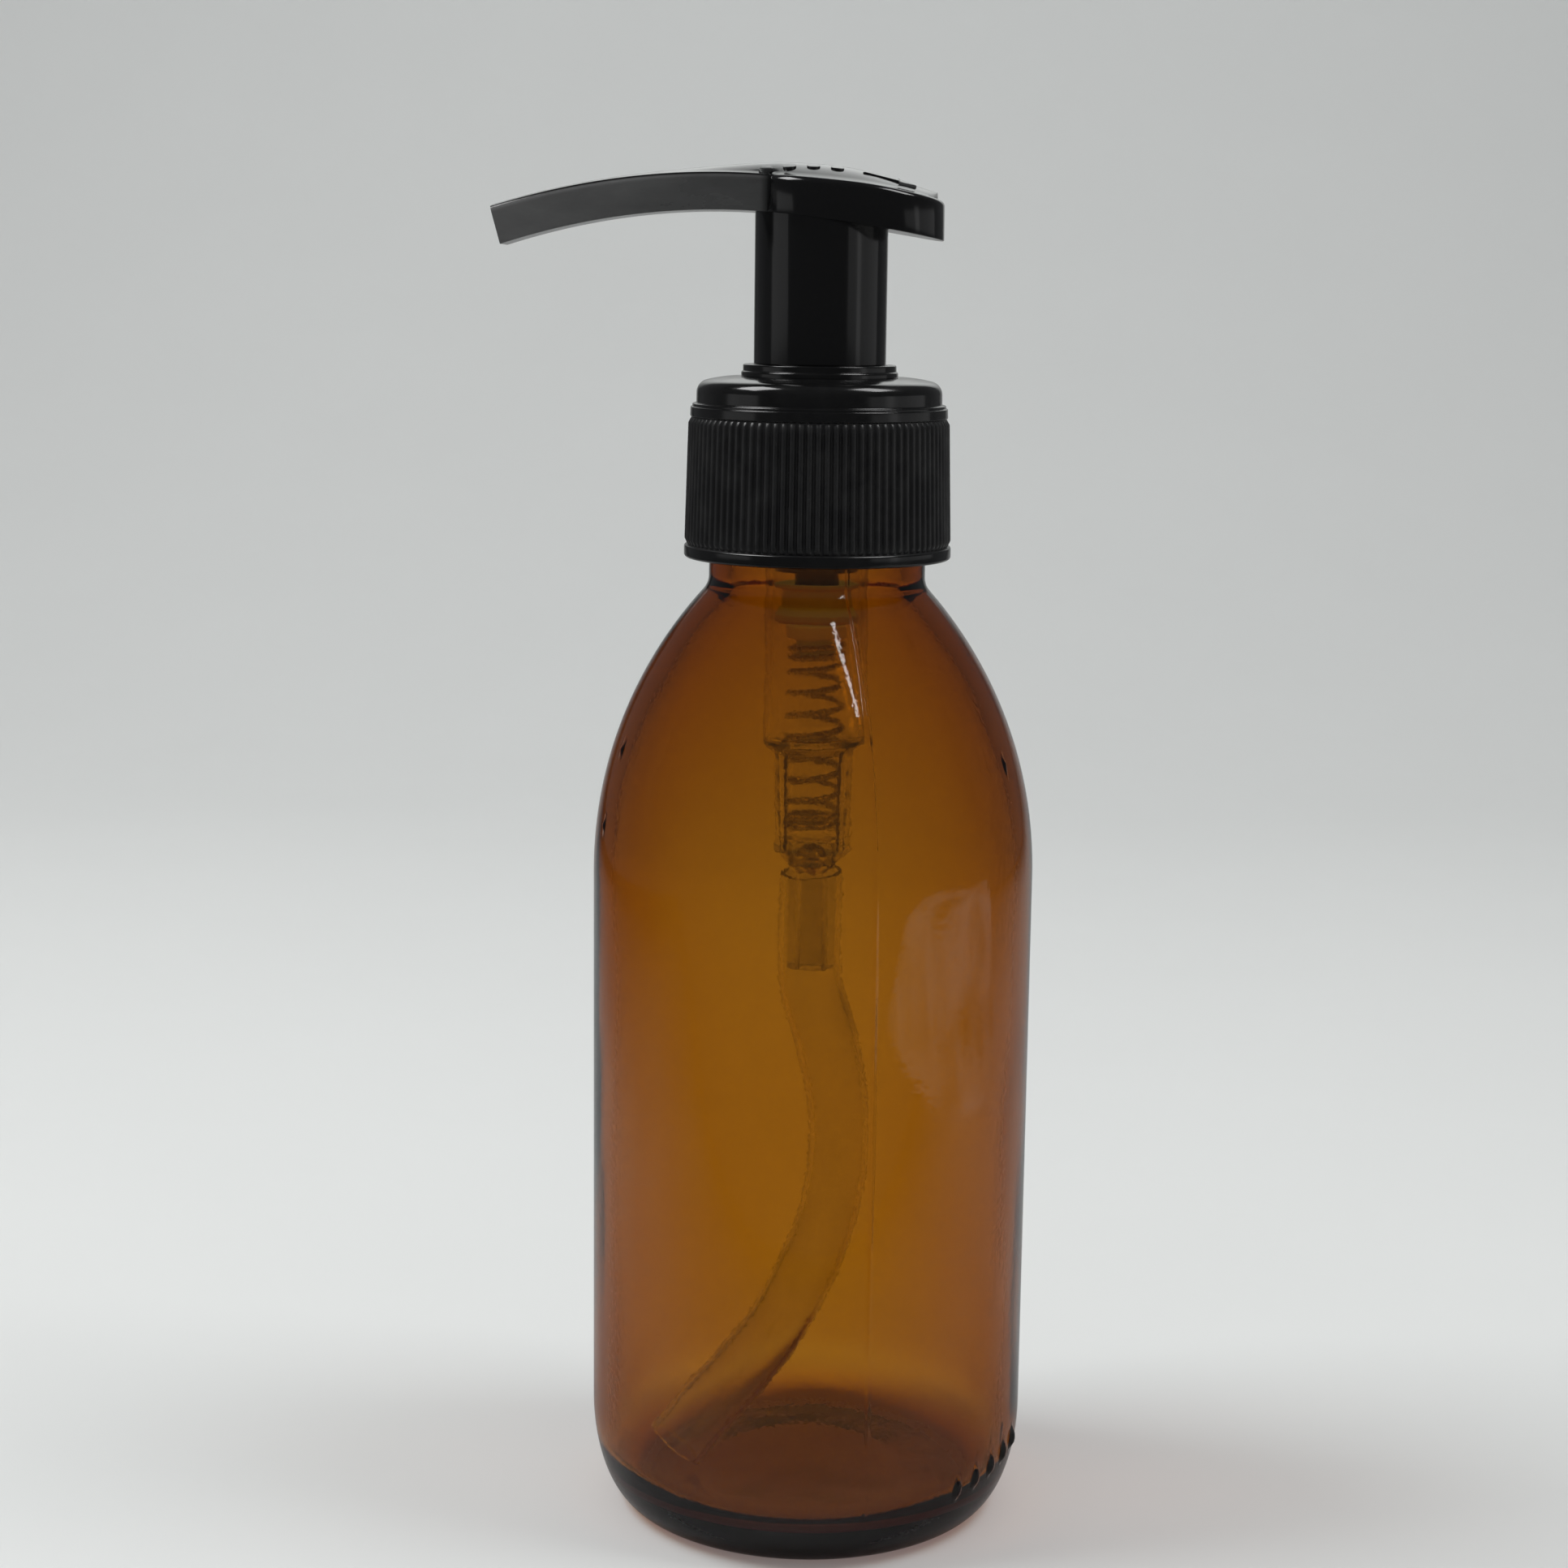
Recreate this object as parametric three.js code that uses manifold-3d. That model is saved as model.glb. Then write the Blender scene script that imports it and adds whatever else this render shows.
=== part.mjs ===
// Soap pump dispenser: a screw-necked glass bottle with a lotion pump held by a ribbed closure.
// Millimetres, +Z up. The origin is the centre of the bottle's base, on the surface it stands on,
// and the spout points along -X. Turned pieces share the bottle's axis.

import * as THREE from 'three';
import { mergeVertices } from 'three/addons/utils/BufferGeometryUtils.js';
import Module from 'manifold-3d';

const wasm = await Module();
wasm.setup();

// ---- Driving dimensions -------------------------------------------------------------------

const gap = 0.3;                 // clearance kept between neighbouring pieces
const facets = 40;               // sides of a large turned piece
const fineFacets = 28;           // sides of a small turned piece

const bottleRadius = 26;
const bottleWall = 2.3;
const baseThickness = 4;
const pushUp = 0.6;              // rise of the base's flat centre above the standing ring
const pushUpRadius = 12;
const ringInnerRadius = 18.8;
const ringOuterRadius = 20.6;
const heelHeight = 12.5;
const innerHeelHeight = 9;       // where the inside's straight wall begins
const shoulderZ = 77.6;          // where the straight wall ends
const shoulderRadius = 50;
const neckRadius = 12.6;
const neckFillet = 2.5;
const neckBore = 9.9;
const mouthZ = 129.4;

const threadPitch = 25.4 / 6;    // six threads to the inch
const threadTurns = 1.5;
const threadStartZ = 121;
const bottleThreadRadius = 13.7;
const closureThreadRadius = 13.05;

const closureBottomZ = 114.8;
const closureRimZ = 116.2;
const closureRimRadius = 15.53;
const ribTopZ = 130.9;
const ribCount = 96;
const ribRadius = 15.5;          // rib crests at the closure's lower edge
const ribDepth = 0.35;
const ribTaper = 15.09 / 15.5;   // crest radius at the top over that at the bottom
const bandRadius = 14.8;
const bandTopZ = 132.5;
const domeRadius = 14.18;
const domeTopZ = 135.6;
const domeRounding = 1.5;
const domeFall = 0.45;           // how far the dome's top falls from its hole to its rounding
const closureBore = 14.15;       // over the bottle's thread
const closureHole = 9.3;
const plateThickness = 1.3;

const flangeRadius = 13.2;       // gasket, housing flange and collar flange
const flangeThickness = 1.2;

const lipTopZ = 137;
const lipRadius = 9.02;
const wellOuterRadius = 8.65;
const wellRadius = 7.95;
const wellFloorZ = 121;
const guideOuterRadius = 4.9;
const guideBottomZ = 113.4;
const guideRadius = 3.3;

const cupRadius = 9.6;
const cylinderRadius = 5.2;
const cylinderWall = 0.8;
const cylinderBottomZ = 92.8;
const chamberRadius = 3.8;
const springSeatZ = 82;
const ballChamberRadius = 2.45;
const nozzleRadius = 2.8;
const nozzleBore = 1.3;
const nozzleTopZ = 78.6;
const nozzleBottomZ = 66;
const finReach = 5.9;
const finThickness = 0.9;

const ballRadius = 2;
const ballZ = 79.3;

const tubeRadius = 3.8;
const tubeBore = 3.1;
const tubeTopZ = 77.9;

const springWire = 0.75;
const springRadius = 3.5;        // outside of the coils
const springBottomZ = springSeatZ + gap;
const springTopZ = 104.8;
const closedCoils = 2;           // at each end
const closedPitch = 1.05;
const openCoils = 7;

const seatRadius = 3.5;
const seatZ = springTopZ + gap;
const seatThickness = 1.5;
const stemBore = 1.5;
const stemWaist = 2.6;
const stemRadius = 3;
const stemTopZ = 152.6;
const stemShoulderZ = 113.3;
const pistonRadius = 4.9;
const pistonTopZ = 112;

const sleeveRadius = 7.62;
const sleeveBore = 6.4;
const sleeveBottomZ = 134.4;
const hubRadius = 4.6;
const hubBottomZ = 145;

const spoutTipX = -36.4;         // lower corner of the spout's end
const spoutTipLean = -1.1;       // how far the upper corner lies beyond the lower one
const spoutTipHalfWidth = 4.4;
const spoutCrestX = -11.5;
const spoutBend = 0.00656;       // half the curvature of the spout's underside, per mm
const spoutDraft = 0.09;         // the spout narrows by this share from top to bottom
const spoutBore = 1.6;
const headCrestZ = 154.25;       // underside at the spout's crest
const headThickness = 4.22;
const padStartX = -6;
const padEndX = 14;
const padSlope = 0.104;          // fall of the pad's underside where it starts, mm per mm
const padBend = 0.0022;          // half the curvature of the pad's underside, per mm
const padThickening = 0.43;      // gained by the pad's side between padStartX and its middle
const padHalfWidth = 9.3;
const padFullness = 2.5;         // exponent of the pad's rounded outline
const padDraft = 0.05;           // the pad narrows by this share from bottom to top
const spoutCrown = 0.25;         // arching of the top across the spout
const padCrown = 1.53;           // more arching at the pad's highest place
const crownX = 0.6;
const crownSpread = 12.3;

// ---- Materials ----------------------------------------------------------------------------

const amberGlass = new THREE.MeshStandardMaterial({
  color: 0x6b3208, roughness: 0.05, metalness: 0, transparent: true, opacity: 0.45,
});
const blackPlastic = new THREE.MeshStandardMaterial({ color: 0x0b0b0c, roughness: 0.22, metalness: 0 });
const naturalPlastic = new THREE.MeshStandardMaterial({ color: 0xd9d6cc, roughness: 0.4, metalness: 0 });
const foam = new THREE.MeshStandardMaterial({ color: 0xf0efea, roughness: 0.8, metalness: 0 });
const steel = new THREE.MeshStandardMaterial({ color: 0xb4b6b8, roughness: 0.3, metalness: 1 });

// ---- Shape helpers ------------------------------------------------------------------------

function signedVolume(position, index) {
  const a = new THREE.Vector3();
  const b = new THREE.Vector3();
  const c = new THREE.Vector3();
  let sum = 0;
  for (let i = 0; i < index.length; i += 3) {
    a.fromBufferAttribute(position, index[i]);
    b.fromBufferAttribute(position, index[i + 1]);
    c.fromBufferAttribute(position, index[i + 2]);
    sum += a.dot(b.cross(c));
  }
  return sum / 6;
}

// Weld a geometry into a closed solid whose faces point out.
function solid(geometry) {
  const bare = geometry.clone();
  bare.deleteAttribute('normal');
  bare.deleteAttribute('uv');
  const welded = mergeVertices(bare);
  const position = welded.getAttribute('position');
  const corners = welded.getIndex().array;
  const triangles = [];
  for (let i = 0; i < corners.length; i += 3) {
    const [a, b, c] = corners.slice(i, i + 3);
    if (a !== b && b !== c && c !== a) {
      triangles.push(a, b, c);
    }
  }
  if (signedVolume(position, triangles) < 0) {
    triangles.reverse();
  }
  const vertProperties = new Float32Array(position.array);
  const triVerts = new Uint32Array(triangles);
  return new wasm.Manifold(new wasm.Mesh({ numProp: 3, vertProperties, triVerts }));
}

function piece(name, body, material) {
  const mesh = body.getMesh();
  const geometry = new THREE.BufferGeometry();
  geometry.setAttribute('position', new THREE.BufferAttribute(mesh.vertProperties, 3));
  geometry.setIndex(new THREE.BufferAttribute(mesh.triVerts, 1));
  geometry.computeVertexNormals();
  const result = new THREE.Mesh(geometry, material);
  result.name = name;
  return result;
}

// A solid of revolution about Z from [radius, height] points.
function turned(outline, sides = facets) {
  const points = outline.map(([radius, height]) => new THREE.Vector2(radius, height));
  return solid(new THREE.LatheGeometry(points, sides).rotateX(Math.PI / 2));
}

function turnedRing(outline, sides = facets) {
  return turned([...outline, outline[0]], sides);
}

// Points on an ellipse about [cx, cz] between two angles, both included.
function arc(cx, cz, rx, rz, from, to, steps) {
  const points = [];
  for (let i = 0; i <= steps; i++) {
    const angle = from + (to - from) * i / steps;
    points.push([cx + rx * Math.cos(angle), cz + rz * Math.sin(angle)]);
  }
  return points;
}

function block(width, depth, height, x, y, z) {
  return solid(new THREE.BoxGeometry(width, depth, height).translate(x, y, z));
}

// A helical ridge: a straight bar of trapezoidal section, wound about Z.
// It stands on the radius root and reaches the radius crest.
function threadRidge(root, crest, rootWidth, crestWidth, startZ, startAngle, turns) {
  const overlap = Math.sign(root - crest) * 0.3;
  const section = new THREE.Shape();
  section.moveTo(-rootWidth / 2, root + overlap);
  section.lineTo(rootWidth / 2, root + overlap);
  section.lineTo(crestWidth / 2, crest);
  section.lineTo(-crestWidth / 2, crest);
  section.closePath();
  const sweep = turns * 2 * Math.PI;
  const steps = Math.round(turns * 24);
  const bar = new THREE.ExtrudeGeometry(section, { depth: sweep, steps, bevelEnabled: false });
  const position = bar.getAttribute('position');
  for (let i = 0; i < position.count; i++) {
    const radius = position.getY(i);
    const turn = position.getZ(i);
    const height = startZ + position.getX(i) + threadPitch * turn / (2 * Math.PI);
    const angle = startAngle + turn;
    position.setXYZ(i, radius * Math.cos(angle), radius * Math.sin(angle), height);
  }
  return solid(bar);
}

// A round bar or tube along a curve.
function swept(curve, radius, bore, sides, steps) {
  const section = new THREE.Shape();
  const hole = new THREE.Path();
  for (let i = 0; i <= sides; i++) {
    const angle = 2 * Math.PI * i / sides;
    const draw = i === 0 ? 'moveTo' : 'lineTo';
    section[draw](radius * Math.cos(angle), radius * Math.sin(angle));
    hole[draw](bore * Math.cos(angle), -bore * Math.sin(angle));
  }
  if (bore > 0) {
    section.holes.push(hole);
  }
  return solid(new THREE.ExtrudeGeometry(section, { extrudePath: curve, steps, bevelEnabled: false }));
}

// ---- Bottle -------------------------------------------------------------------------------

// The shoulder is one big arc that meets the neck in a small hollow fillet. Moved inwards by
// an offset, the same arc gives the inner face.
function shoulder(offset) {
  const centreR = bottleRadius - shoulderRadius;
  const radius = shoulderRadius - offset;
  const wall = offset === 0 ? neckRadius : neckBore;
  const fillet = neckFillet;
  const filletR = wall + fillet;
  const meet = Math.acos((filletR - centreR) / (radius + fillet));
  const filletZ = shoulderZ + (radius + fillet) * Math.sin(meet);
  return [
    ...arc(centreR, shoulderZ, radius, radius, 0, meet, 9),
    ...arc(filletR, filletZ, fillet, fillet, Math.PI + meet, Math.PI, 3).slice(1),
  ];
}

function bottleBody() {
  const innerRadius = bottleRadius - bottleWall;
  const heelWidth = bottleRadius - ringOuterRadius;
  const heel = arc(ringOuterRadius, heelHeight, heelWidth, heelHeight, -Math.PI / 2, 0, 5);
  const innerHeel = arc(ringInnerRadius, innerHeelHeight, innerRadius - ringInnerRadius,
    innerHeelHeight - baseThickness, 0, -Math.PI / 2, 4);
  return turned([
    [0, pushUp],
    [pushUpRadius, pushUp],
    [ringInnerRadius, 0],
    ...heel,
    ...shoulder(0),
    [neckRadius, mouthZ - 0.4],
    [neckRadius - 0.4, mouthZ],
    [neckBore, mouthZ],
    ...shoulder(bottleWall).reverse(),
    ...innerHeel,
    [pushUpRadius, baseThickness],
    [0, baseThickness + pushUp / 2],
  ]);
}

function bottle() {
  const ridge = threadRidge(neckRadius, bottleThreadRadius, 2.4, 1.4, threadStartZ, 0, threadTurns);
  return bottleBody().add(ridge);
}

// ---- Closure ------------------------------------------------------------------------------

function ribbedDrum() {
  const outline = new THREE.Shape();
  for (let i = 0; i < 2 * ribCount; i++) {
    const angle = Math.PI * i / ribCount;
    const radius = i % 2 === 0 ? ribRadius : ribRadius - ribDepth;
    const draw = i === 0 ? 'moveTo' : 'lineTo';
    outline[draw](radius * Math.cos(angle), radius * Math.sin(angle));
  }
  const height = ribTopZ - closureRimZ;
  const drum = new THREE.ExtrudeGeometry(outline, { depth: height, bevelEnabled: false });
  const position = drum.getAttribute('position');
  for (let i = 0; i < position.count; i++) {
    const scale = 1 + (ribTaper - 1) * position.getZ(i) / height;
    position.setXYZ(i, position.getX(i) * scale, position.getY(i) * scale, position.getZ(i));
  }
  return solid(drum.translate(0, 0, closureRimZ));
}

function closureBody() {
  const steepest = 5 / 12 * Math.PI;
  const roundingZ = domeTopZ - domeFall - domeRounding * Math.sin(steepest);
  const rounding = arc(domeRadius - domeRounding, roundingZ, domeRounding, domeRounding, 0,
    steepest, 4);
  return turned([
    [0, closureBottomZ],
    [closureRimRadius, closureBottomZ],
    [closureRimRadius, closureRimZ],
    [ribRadius - 2 * ribDepth, closureRimZ],
    [bandRadius - ribDepth, ribTopZ - ribDepth],
    [bandRadius, ribTopZ],
    [bandRadius, bandTopZ],
    [domeRadius, bandTopZ],
    ...rounding,
    [closureHole, domeTopZ],
    [0, domeTopZ],
  ]);
}

function closure() {
  const flangeBore = flangeRadius + gap;
  const clearance = turned([
    [0, closureBottomZ - 1],
    [closureBore, closureBottomZ - 1],
    [closureBore, mouthZ],
    [flangeBore, mouthZ + gap],
    [flangeBore, domeTopZ - plateThickness],
    [closureHole, domeTopZ - plateThickness],
    [closureHole, domeTopZ + 1],
    [0, domeTopZ + 1],
  ]);
  // The closure's thread lies under the bottle's, a gap below it.
  const flankDrop = 1.45 + gap;
  const startAngle = -0.8 * Math.PI;
  const startZ = threadStartZ - flankDrop + threadPitch * startAngle / (2 * Math.PI);
  const ridge = threadRidge(closureBore, closureThreadRadius, 1.8, 0.9, startZ, startAngle, 1.25);
  return closureBody().add(ribbedDrum()).subtract(clearance).add(ridge);
}

// ---- Pump body ----------------------------------------------------------------------------

const gasketZ = mouthZ + gap;
const housingFlangeZ = gasketZ + flangeThickness + gap;
const collarFlangeZ = housingFlangeZ + flangeThickness + gap;

function gasket() {
  return turnedRing([
    [neckBore + gap, gasketZ],
    [flangeRadius, gasketZ],
    [flangeRadius, gasketZ + flangeThickness],
    [neckBore + gap, gasketZ + flangeThickness],
  ]);
}

function lockingCollar() {
  return turnedRing([
    [wellRadius, lipTopZ],
    [lipRadius - 0.15, lipTopZ],
    [lipRadius, lipTopZ - 0.2],
    [lipRadius, lipTopZ - 0.9],
    [wellOuterRadius, lipTopZ - 1.2],
    [wellOuterRadius, collarFlangeZ + flangeThickness],
    [flangeRadius, collarFlangeZ + flangeThickness],
    [flangeRadius, collarFlangeZ],
    [wellOuterRadius, collarFlangeZ],
    [wellOuterRadius, wellFloorZ - 1],
    [guideOuterRadius, wellFloorZ - 1],
    [guideOuterRadius, guideBottomZ],
    [guideRadius, guideBottomZ],
    [guideRadius, wellFloorZ],
    [wellRadius, wellFloorZ],
  ]);
}

function housingBody() {
  const outerRadius = cylinderRadius + cylinderWall;
  const chamberOuter = chamberRadius + cylinderWall;
  const cupFloorZ = wellFloorZ - 1 - gap;
  return turnedRing([
    [flangeRadius, housingFlangeZ + flangeThickness],
    [flangeRadius, housingFlangeZ],
    [cupRadius, housingFlangeZ],
    [cupRadius, cupFloorZ - cylinderWall],
    [outerRadius, cupFloorZ - cylinderWall],
    [outerRadius, cylinderBottomZ],
    [chamberOuter, cylinderBottomZ - 0.8],
    [chamberOuter, nozzleTopZ + 1.6],
    [nozzleRadius, nozzleTopZ],
    [nozzleRadius, nozzleBottomZ],
    [nozzleBore, nozzleBottomZ],
    [nozzleBore, nozzleTopZ - 1],
    [ballChamberRadius, nozzleTopZ + 0.2],
    [ballChamberRadius, springSeatZ - 0.4],
    [ballChamberRadius - 0.65, springSeatZ - 0.4],
    [ballChamberRadius - 0.65, springSeatZ],
    [chamberRadius, springSeatZ],
    [chamberRadius, cylinderBottomZ + cylinderWall],
    [cylinderRadius, cylinderBottomZ + cylinderWall],
    [cylinderRadius, cupFloorZ],
    [wellOuterRadius + gap, cupFloorZ],
    [wellOuterRadius + gap, housingFlangeZ + flangeThickness],
  ], fineFacets);
}

function pumpHousing() {
  let body = housingBody();
  const finBottomZ = nozzleTopZ + 2;
  const finHeight = cylinderBottomZ - 0.2 - finBottomZ;
  const finWidth = finReach - chamberRadius - cylinderWall / 2;
  for (let i = 0; i < 4; i++) {
    const fin = new THREE.BoxGeometry(finWidth, finThickness, finHeight);
    fin.translate(finReach - finWidth / 2, 0, finBottomZ + finHeight / 2);
    fin.rotateZ(Math.PI * (i / 2 + 0.25));
    body = body.add(solid(fin));
  }
  // The vent lets air into the bottle as it empties.
  return body.subtract(block(4, 1.2, 1.2, cylinderRadius + 0.5, 0, 115));
}

function dipTube() {
  const route = new THREE.CatmullRomCurve3([
    new THREE.Vector3(0, 0, tubeTopZ),
    new THREE.Vector3(0, 0, nozzleBottomZ - 2),
    new THREE.Vector3(1.9, 0, 57),
    new THREE.Vector3(3.5, 0, 46),
    new THREE.Vector3(2.2, -0.5, 35),
    new THREE.Vector3(-3.4, -1.8, 22.5),
    new THREE.Vector3(-15.6, -4.6, 7.4),
  ], false, 'centripetal');
  return swept(route, tubeRadius, tubeBore, 12, 24);
}

function inletBall() {
  return solid(new THREE.SphereGeometry(ballRadius, 20, 12).translate(0, 0, ballZ));
}

class SpringCurve extends THREE.Curve {
  getPoint(t, target = new THREE.Vector3()) {
    const turn = t * (2 * closedCoils + openCoils);
    const height = springTopZ - springBottomZ - springWire;
    const openPitch = (height - 2 * closedCoils * closedPitch) / openCoils;
    const low = Math.min(turn, closedCoils);
    const middle = THREE.MathUtils.clamp(turn - closedCoils, 0, openCoils);
    const high = Math.max(turn - closedCoils - openCoils, 0);
    const rise = (low + high) * closedPitch + middle * openPitch;
    const radius = springRadius - springWire / 2;
    const angle = 2 * Math.PI * turn;
    return target.set(radius * Math.cos(angle), radius * Math.sin(angle),
      springBottomZ + springWire / 2 + rise);
  }
}

function returnSpring() {
  const coils = 2 * closedCoils + openCoils;
  return swept(new SpringCurve(), springWire / 2, 0, 6, coils * 12);
}

// ---- Moving parts of the pump -------------------------------------------------------------

function pistonSeat() {
  const topZ = seatZ + seatThickness;
  return turned([
    [0, seatZ - 2.5],
    [2.3, seatZ - 2.5],
    [2.3, seatZ],
    [seatRadius, seatZ],
    [seatRadius, topZ],
    [stemBore - gap, topZ],
    [stemBore - gap, topZ + 3.9],
    [0, topZ + 4.4],
  ], fineFacets);
}

function stem() {
  const bottomZ = seatZ + seatThickness + gap;
  const body = turnedRing([
    [stemBore, bottomZ],
    [stemWaist, bottomZ],
    [stemWaist, stemShoulderZ],
    [stemRadius, stemShoulderZ],
    [stemRadius, stemTopZ],
    [stemBore, stemTopZ],
  ], fineFacets);
  const portHeight = 1.6;
  return body.subtract(block(8, 1, portHeight, 0, 0, bottomZ + 0.7 + portHeight / 2));
}

function piston() {
  const bottomZ = seatZ + seatThickness + gap;
  const bore = stemWaist + gap;
  return turnedRing([
    [bore, bottomZ],
    [pistonRadius - 0.2, bottomZ],
    [pistonRadius, bottomZ + 0.3],
    [pistonRadius, bottomZ + 0.9],
    [pistonRadius - 0.8, bottomZ + 1.7],
    [pistonRadius - 0.8, pistonTopZ - 1.7],
    [pistonRadius, pistonTopZ - 0.8],
    [pistonRadius, pistonTopZ],
    [pistonRadius - 0.4, pistonTopZ],
    [bore + 0.6, pistonTopZ - 1.2],
    [bore, pistonTopZ - 1.2],
  ], fineFacets);
}

// ---- Actuator: spout, thumb pad, sleeve and hub in one moulding ---------------------------

function padWidthAt(x) {
  const centre = 3.4;
  const reach = Math.min(Math.abs(x - centre) / (padEndX - centre), 1);
  const width = padHalfWidth * (1 - reach ** padFullness) ** (1 / padFullness);
  return Math.max(width, 0.8);
}

function halfWidthAt(x) {
  if (x > padStartX) {
    return padWidthAt(x);
  }
  const share = (x - spoutTipX) / (padStartX - spoutTipX);
  return THREE.MathUtils.lerp(spoutTipHalfWidth, padWidthAt(padStartX), share);
}

function undersideAt(x) {
  const arch = headCrestZ - spoutBend * (Math.min(x, padStartX) - spoutCrestX) ** 2;
  const along = Math.max(x - padStartX, 0);
  return arch - padSlope * along - padBend * along ** 2;
}

function sideHeightAt(x) {
  return headThickness + padThickening * THREE.MathUtils.smoothstep(x, padStartX, padEndX / 2);
}

function crownAt(x) {
  return spoutCrown + padCrown * Math.exp(-(((x - crownX) / crownSpread) ** 2));
}

// A block bent to the head's profile: along is 0 at the spout's tip and 1 at the pad's end,
// across runs from -1 to 1, and up from 0 on the underside to 1 on the arched top.
function headPoint(along, across, up) {
  const spoutShare = 0.5;
  const tipX = spoutTipX + spoutTipLean * up;
  let x = THREE.MathUtils.lerp(tipX, padStartX, along / spoutShare);
  if (along > spoutShare) {
    const swing = Math.PI / 2 * (along - spoutShare) / (1 - spoutShare);
    x = padStartX + (padEndX - padStartX) * Math.sin(swing);
  }
  const draft = along < spoutShare ? spoutDraft * (1 - up) : padDraft * up;
  const y = across * halfWidthAt(x) * (1 - draft);
  const z = undersideAt(x) + up * (sideHeightAt(x) + crownAt(x) * (1 - across ** 2));
  const endDraft = padDraft * up * Math.max(x, 0);
  return new THREE.Vector3(x - endDraft, y, z);
}

function headBlock() {
  const bar = new THREE.BoxGeometry(1, 2, 1, 30, 6, 2).translate(0.5, 0, 0.5);
  const position = bar.getAttribute('position');
  for (let i = 0; i < position.count; i++) {
    const point = headPoint(position.getX(i), position.getY(i), position.getZ(i));
    position.setXYZ(i, point.x, point.y, point.z);
  }
  return solid(bar);
}

function flowChannel() {
  const route = new THREE.QuadraticBezierCurve3(
    new THREE.Vector3(1, 0, 155.8),
    new THREE.Vector3(-16, 0, 158.9),
    new THREE.Vector3(-39, 0, 151.5),
  );
  const riserTopZ = 156.5;
  const riser = turned([
    [0, hubBottomZ],
    [spoutBore, hubBottomZ],
    [spoutBore, riserTopZ],
    [0, riserTopZ],
  ], 12);
  return riser.add(swept(route, spoutBore, 0, 12, 16));
}

function actuator() {
  const rootZ = 155;
  const sleeve = turnedRing([
    [sleeveBore, sleeveBottomZ],
    [sleeveRadius, sleeveBottomZ],
    [sleeveRadius, rootZ],
    [sleeveBore, rootZ],
  ]);
  const hub = turned([
    [0, hubBottomZ],
    [hubRadius, hubBottomZ],
    [hubRadius, rootZ],
    [0, rootZ],
  ], fineFacets);
  const socket = turned([
    [0, hubBottomZ - 1],
    [stemRadius + gap, hubBottomZ - 1],
    [stemRadius + gap, stemTopZ + gap],
    [0, stemTopZ + gap],
  ], fineFacets);
  return headBlock().add(sleeve).add(hub).subtract(socket).subtract(flowChannel());
}

// ---- Assembly -----------------------------------------------------------------------------

const dispenser = new THREE.Group();
dispenser.add(
  piece('bottle', bottle(), amberGlass),
  piece('closure', closure(), blackPlastic),
  piece('gasket', gasket(), foam),
  piece('pump_housing', pumpHousing(), naturalPlastic),
  piece('locking_collar', lockingCollar(), blackPlastic),
  piece('dip_tube', dipTube(), naturalPlastic),
  piece('inlet_ball', inletBall(), steel),
  piece('return_spring', returnSpring(), steel),
  piece('piston_seat', pistonSeat(), naturalPlastic),
  piece('piston', piston(), naturalPlastic),
  piece('stem', stem(), blackPlastic),
  piece('actuator', actuator(), blackPlastic),
);

export default dispenser;
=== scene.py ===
"""Soap pump dispenser: the looks of an amber glass bottle with a black lotion pump."""

import math

import bmesh
import bpy
import numpy as np
from mathutils import Matrix, Vector


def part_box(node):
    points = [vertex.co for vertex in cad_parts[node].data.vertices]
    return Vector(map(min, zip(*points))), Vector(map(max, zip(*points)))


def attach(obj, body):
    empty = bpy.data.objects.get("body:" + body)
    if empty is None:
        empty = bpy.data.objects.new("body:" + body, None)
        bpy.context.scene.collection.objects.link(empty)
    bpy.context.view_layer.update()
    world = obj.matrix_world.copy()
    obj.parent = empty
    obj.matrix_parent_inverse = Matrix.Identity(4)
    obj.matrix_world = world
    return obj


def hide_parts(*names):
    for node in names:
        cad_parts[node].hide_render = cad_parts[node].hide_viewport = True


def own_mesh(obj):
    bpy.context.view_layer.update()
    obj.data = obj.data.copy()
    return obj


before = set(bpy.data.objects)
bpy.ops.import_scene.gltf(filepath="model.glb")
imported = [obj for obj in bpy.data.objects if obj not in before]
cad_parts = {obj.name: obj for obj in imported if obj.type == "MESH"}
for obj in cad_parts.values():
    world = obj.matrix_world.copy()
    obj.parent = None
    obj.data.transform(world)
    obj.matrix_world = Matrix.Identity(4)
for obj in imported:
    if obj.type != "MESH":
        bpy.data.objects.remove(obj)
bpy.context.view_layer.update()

MM = 0.001
TAU = 2 * math.pi


# ---- Sizes, in millimetres: boxes of the CAD parts in model.glb, and the same measures as the CAD part ----

def span(node):
    """Lowest and highest corner of a CAD node, in millimetres."""
    low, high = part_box(node)
    return np.array(low) / MM, np.array(high) / MM


bottle_high = span("bottle")[1]
closure_low, closure_high = span("closure")
collar_low, collar_high = span("locking_collar")
housing_low, housing_high = span("pump_housing")
head_low = span("actuator")[0]
gasket_low, gasket_high = span("gasket")
spring_low, spring_high = span("return_spring")
seat_low, seat_high = span("piston_seat")
piston_low, piston_high = span("piston")
stem_low, stem_high = span("stem")
ball_low, ball_high = span("inlet_ball")

# The bottle. SHOULDER_EXTRA thickens the wall inside the shoulder, where the amber is darker.
BODY_R = bottle_high[0]
MOUTH_Z = bottle_high[2]
WALL = 2.3
BASE = 4.0
PUSH_UP = 0.6
RING_IN = 18.8
RING_OUT = 20.6
HEEL_H = 12.5
INNER_HEEL_H = 9.0
SHOULDER_Z = 77.6
SHOULDER_R = 50.0
SHOULDER_EXTRA = 0.7
NECK_R = 12.6
NECK_FILLET = 2.5
NECK_Z = 118
BORE_R = 9.9
SEAM_ANGLE = math.radians(-90 + 15.8)

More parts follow.
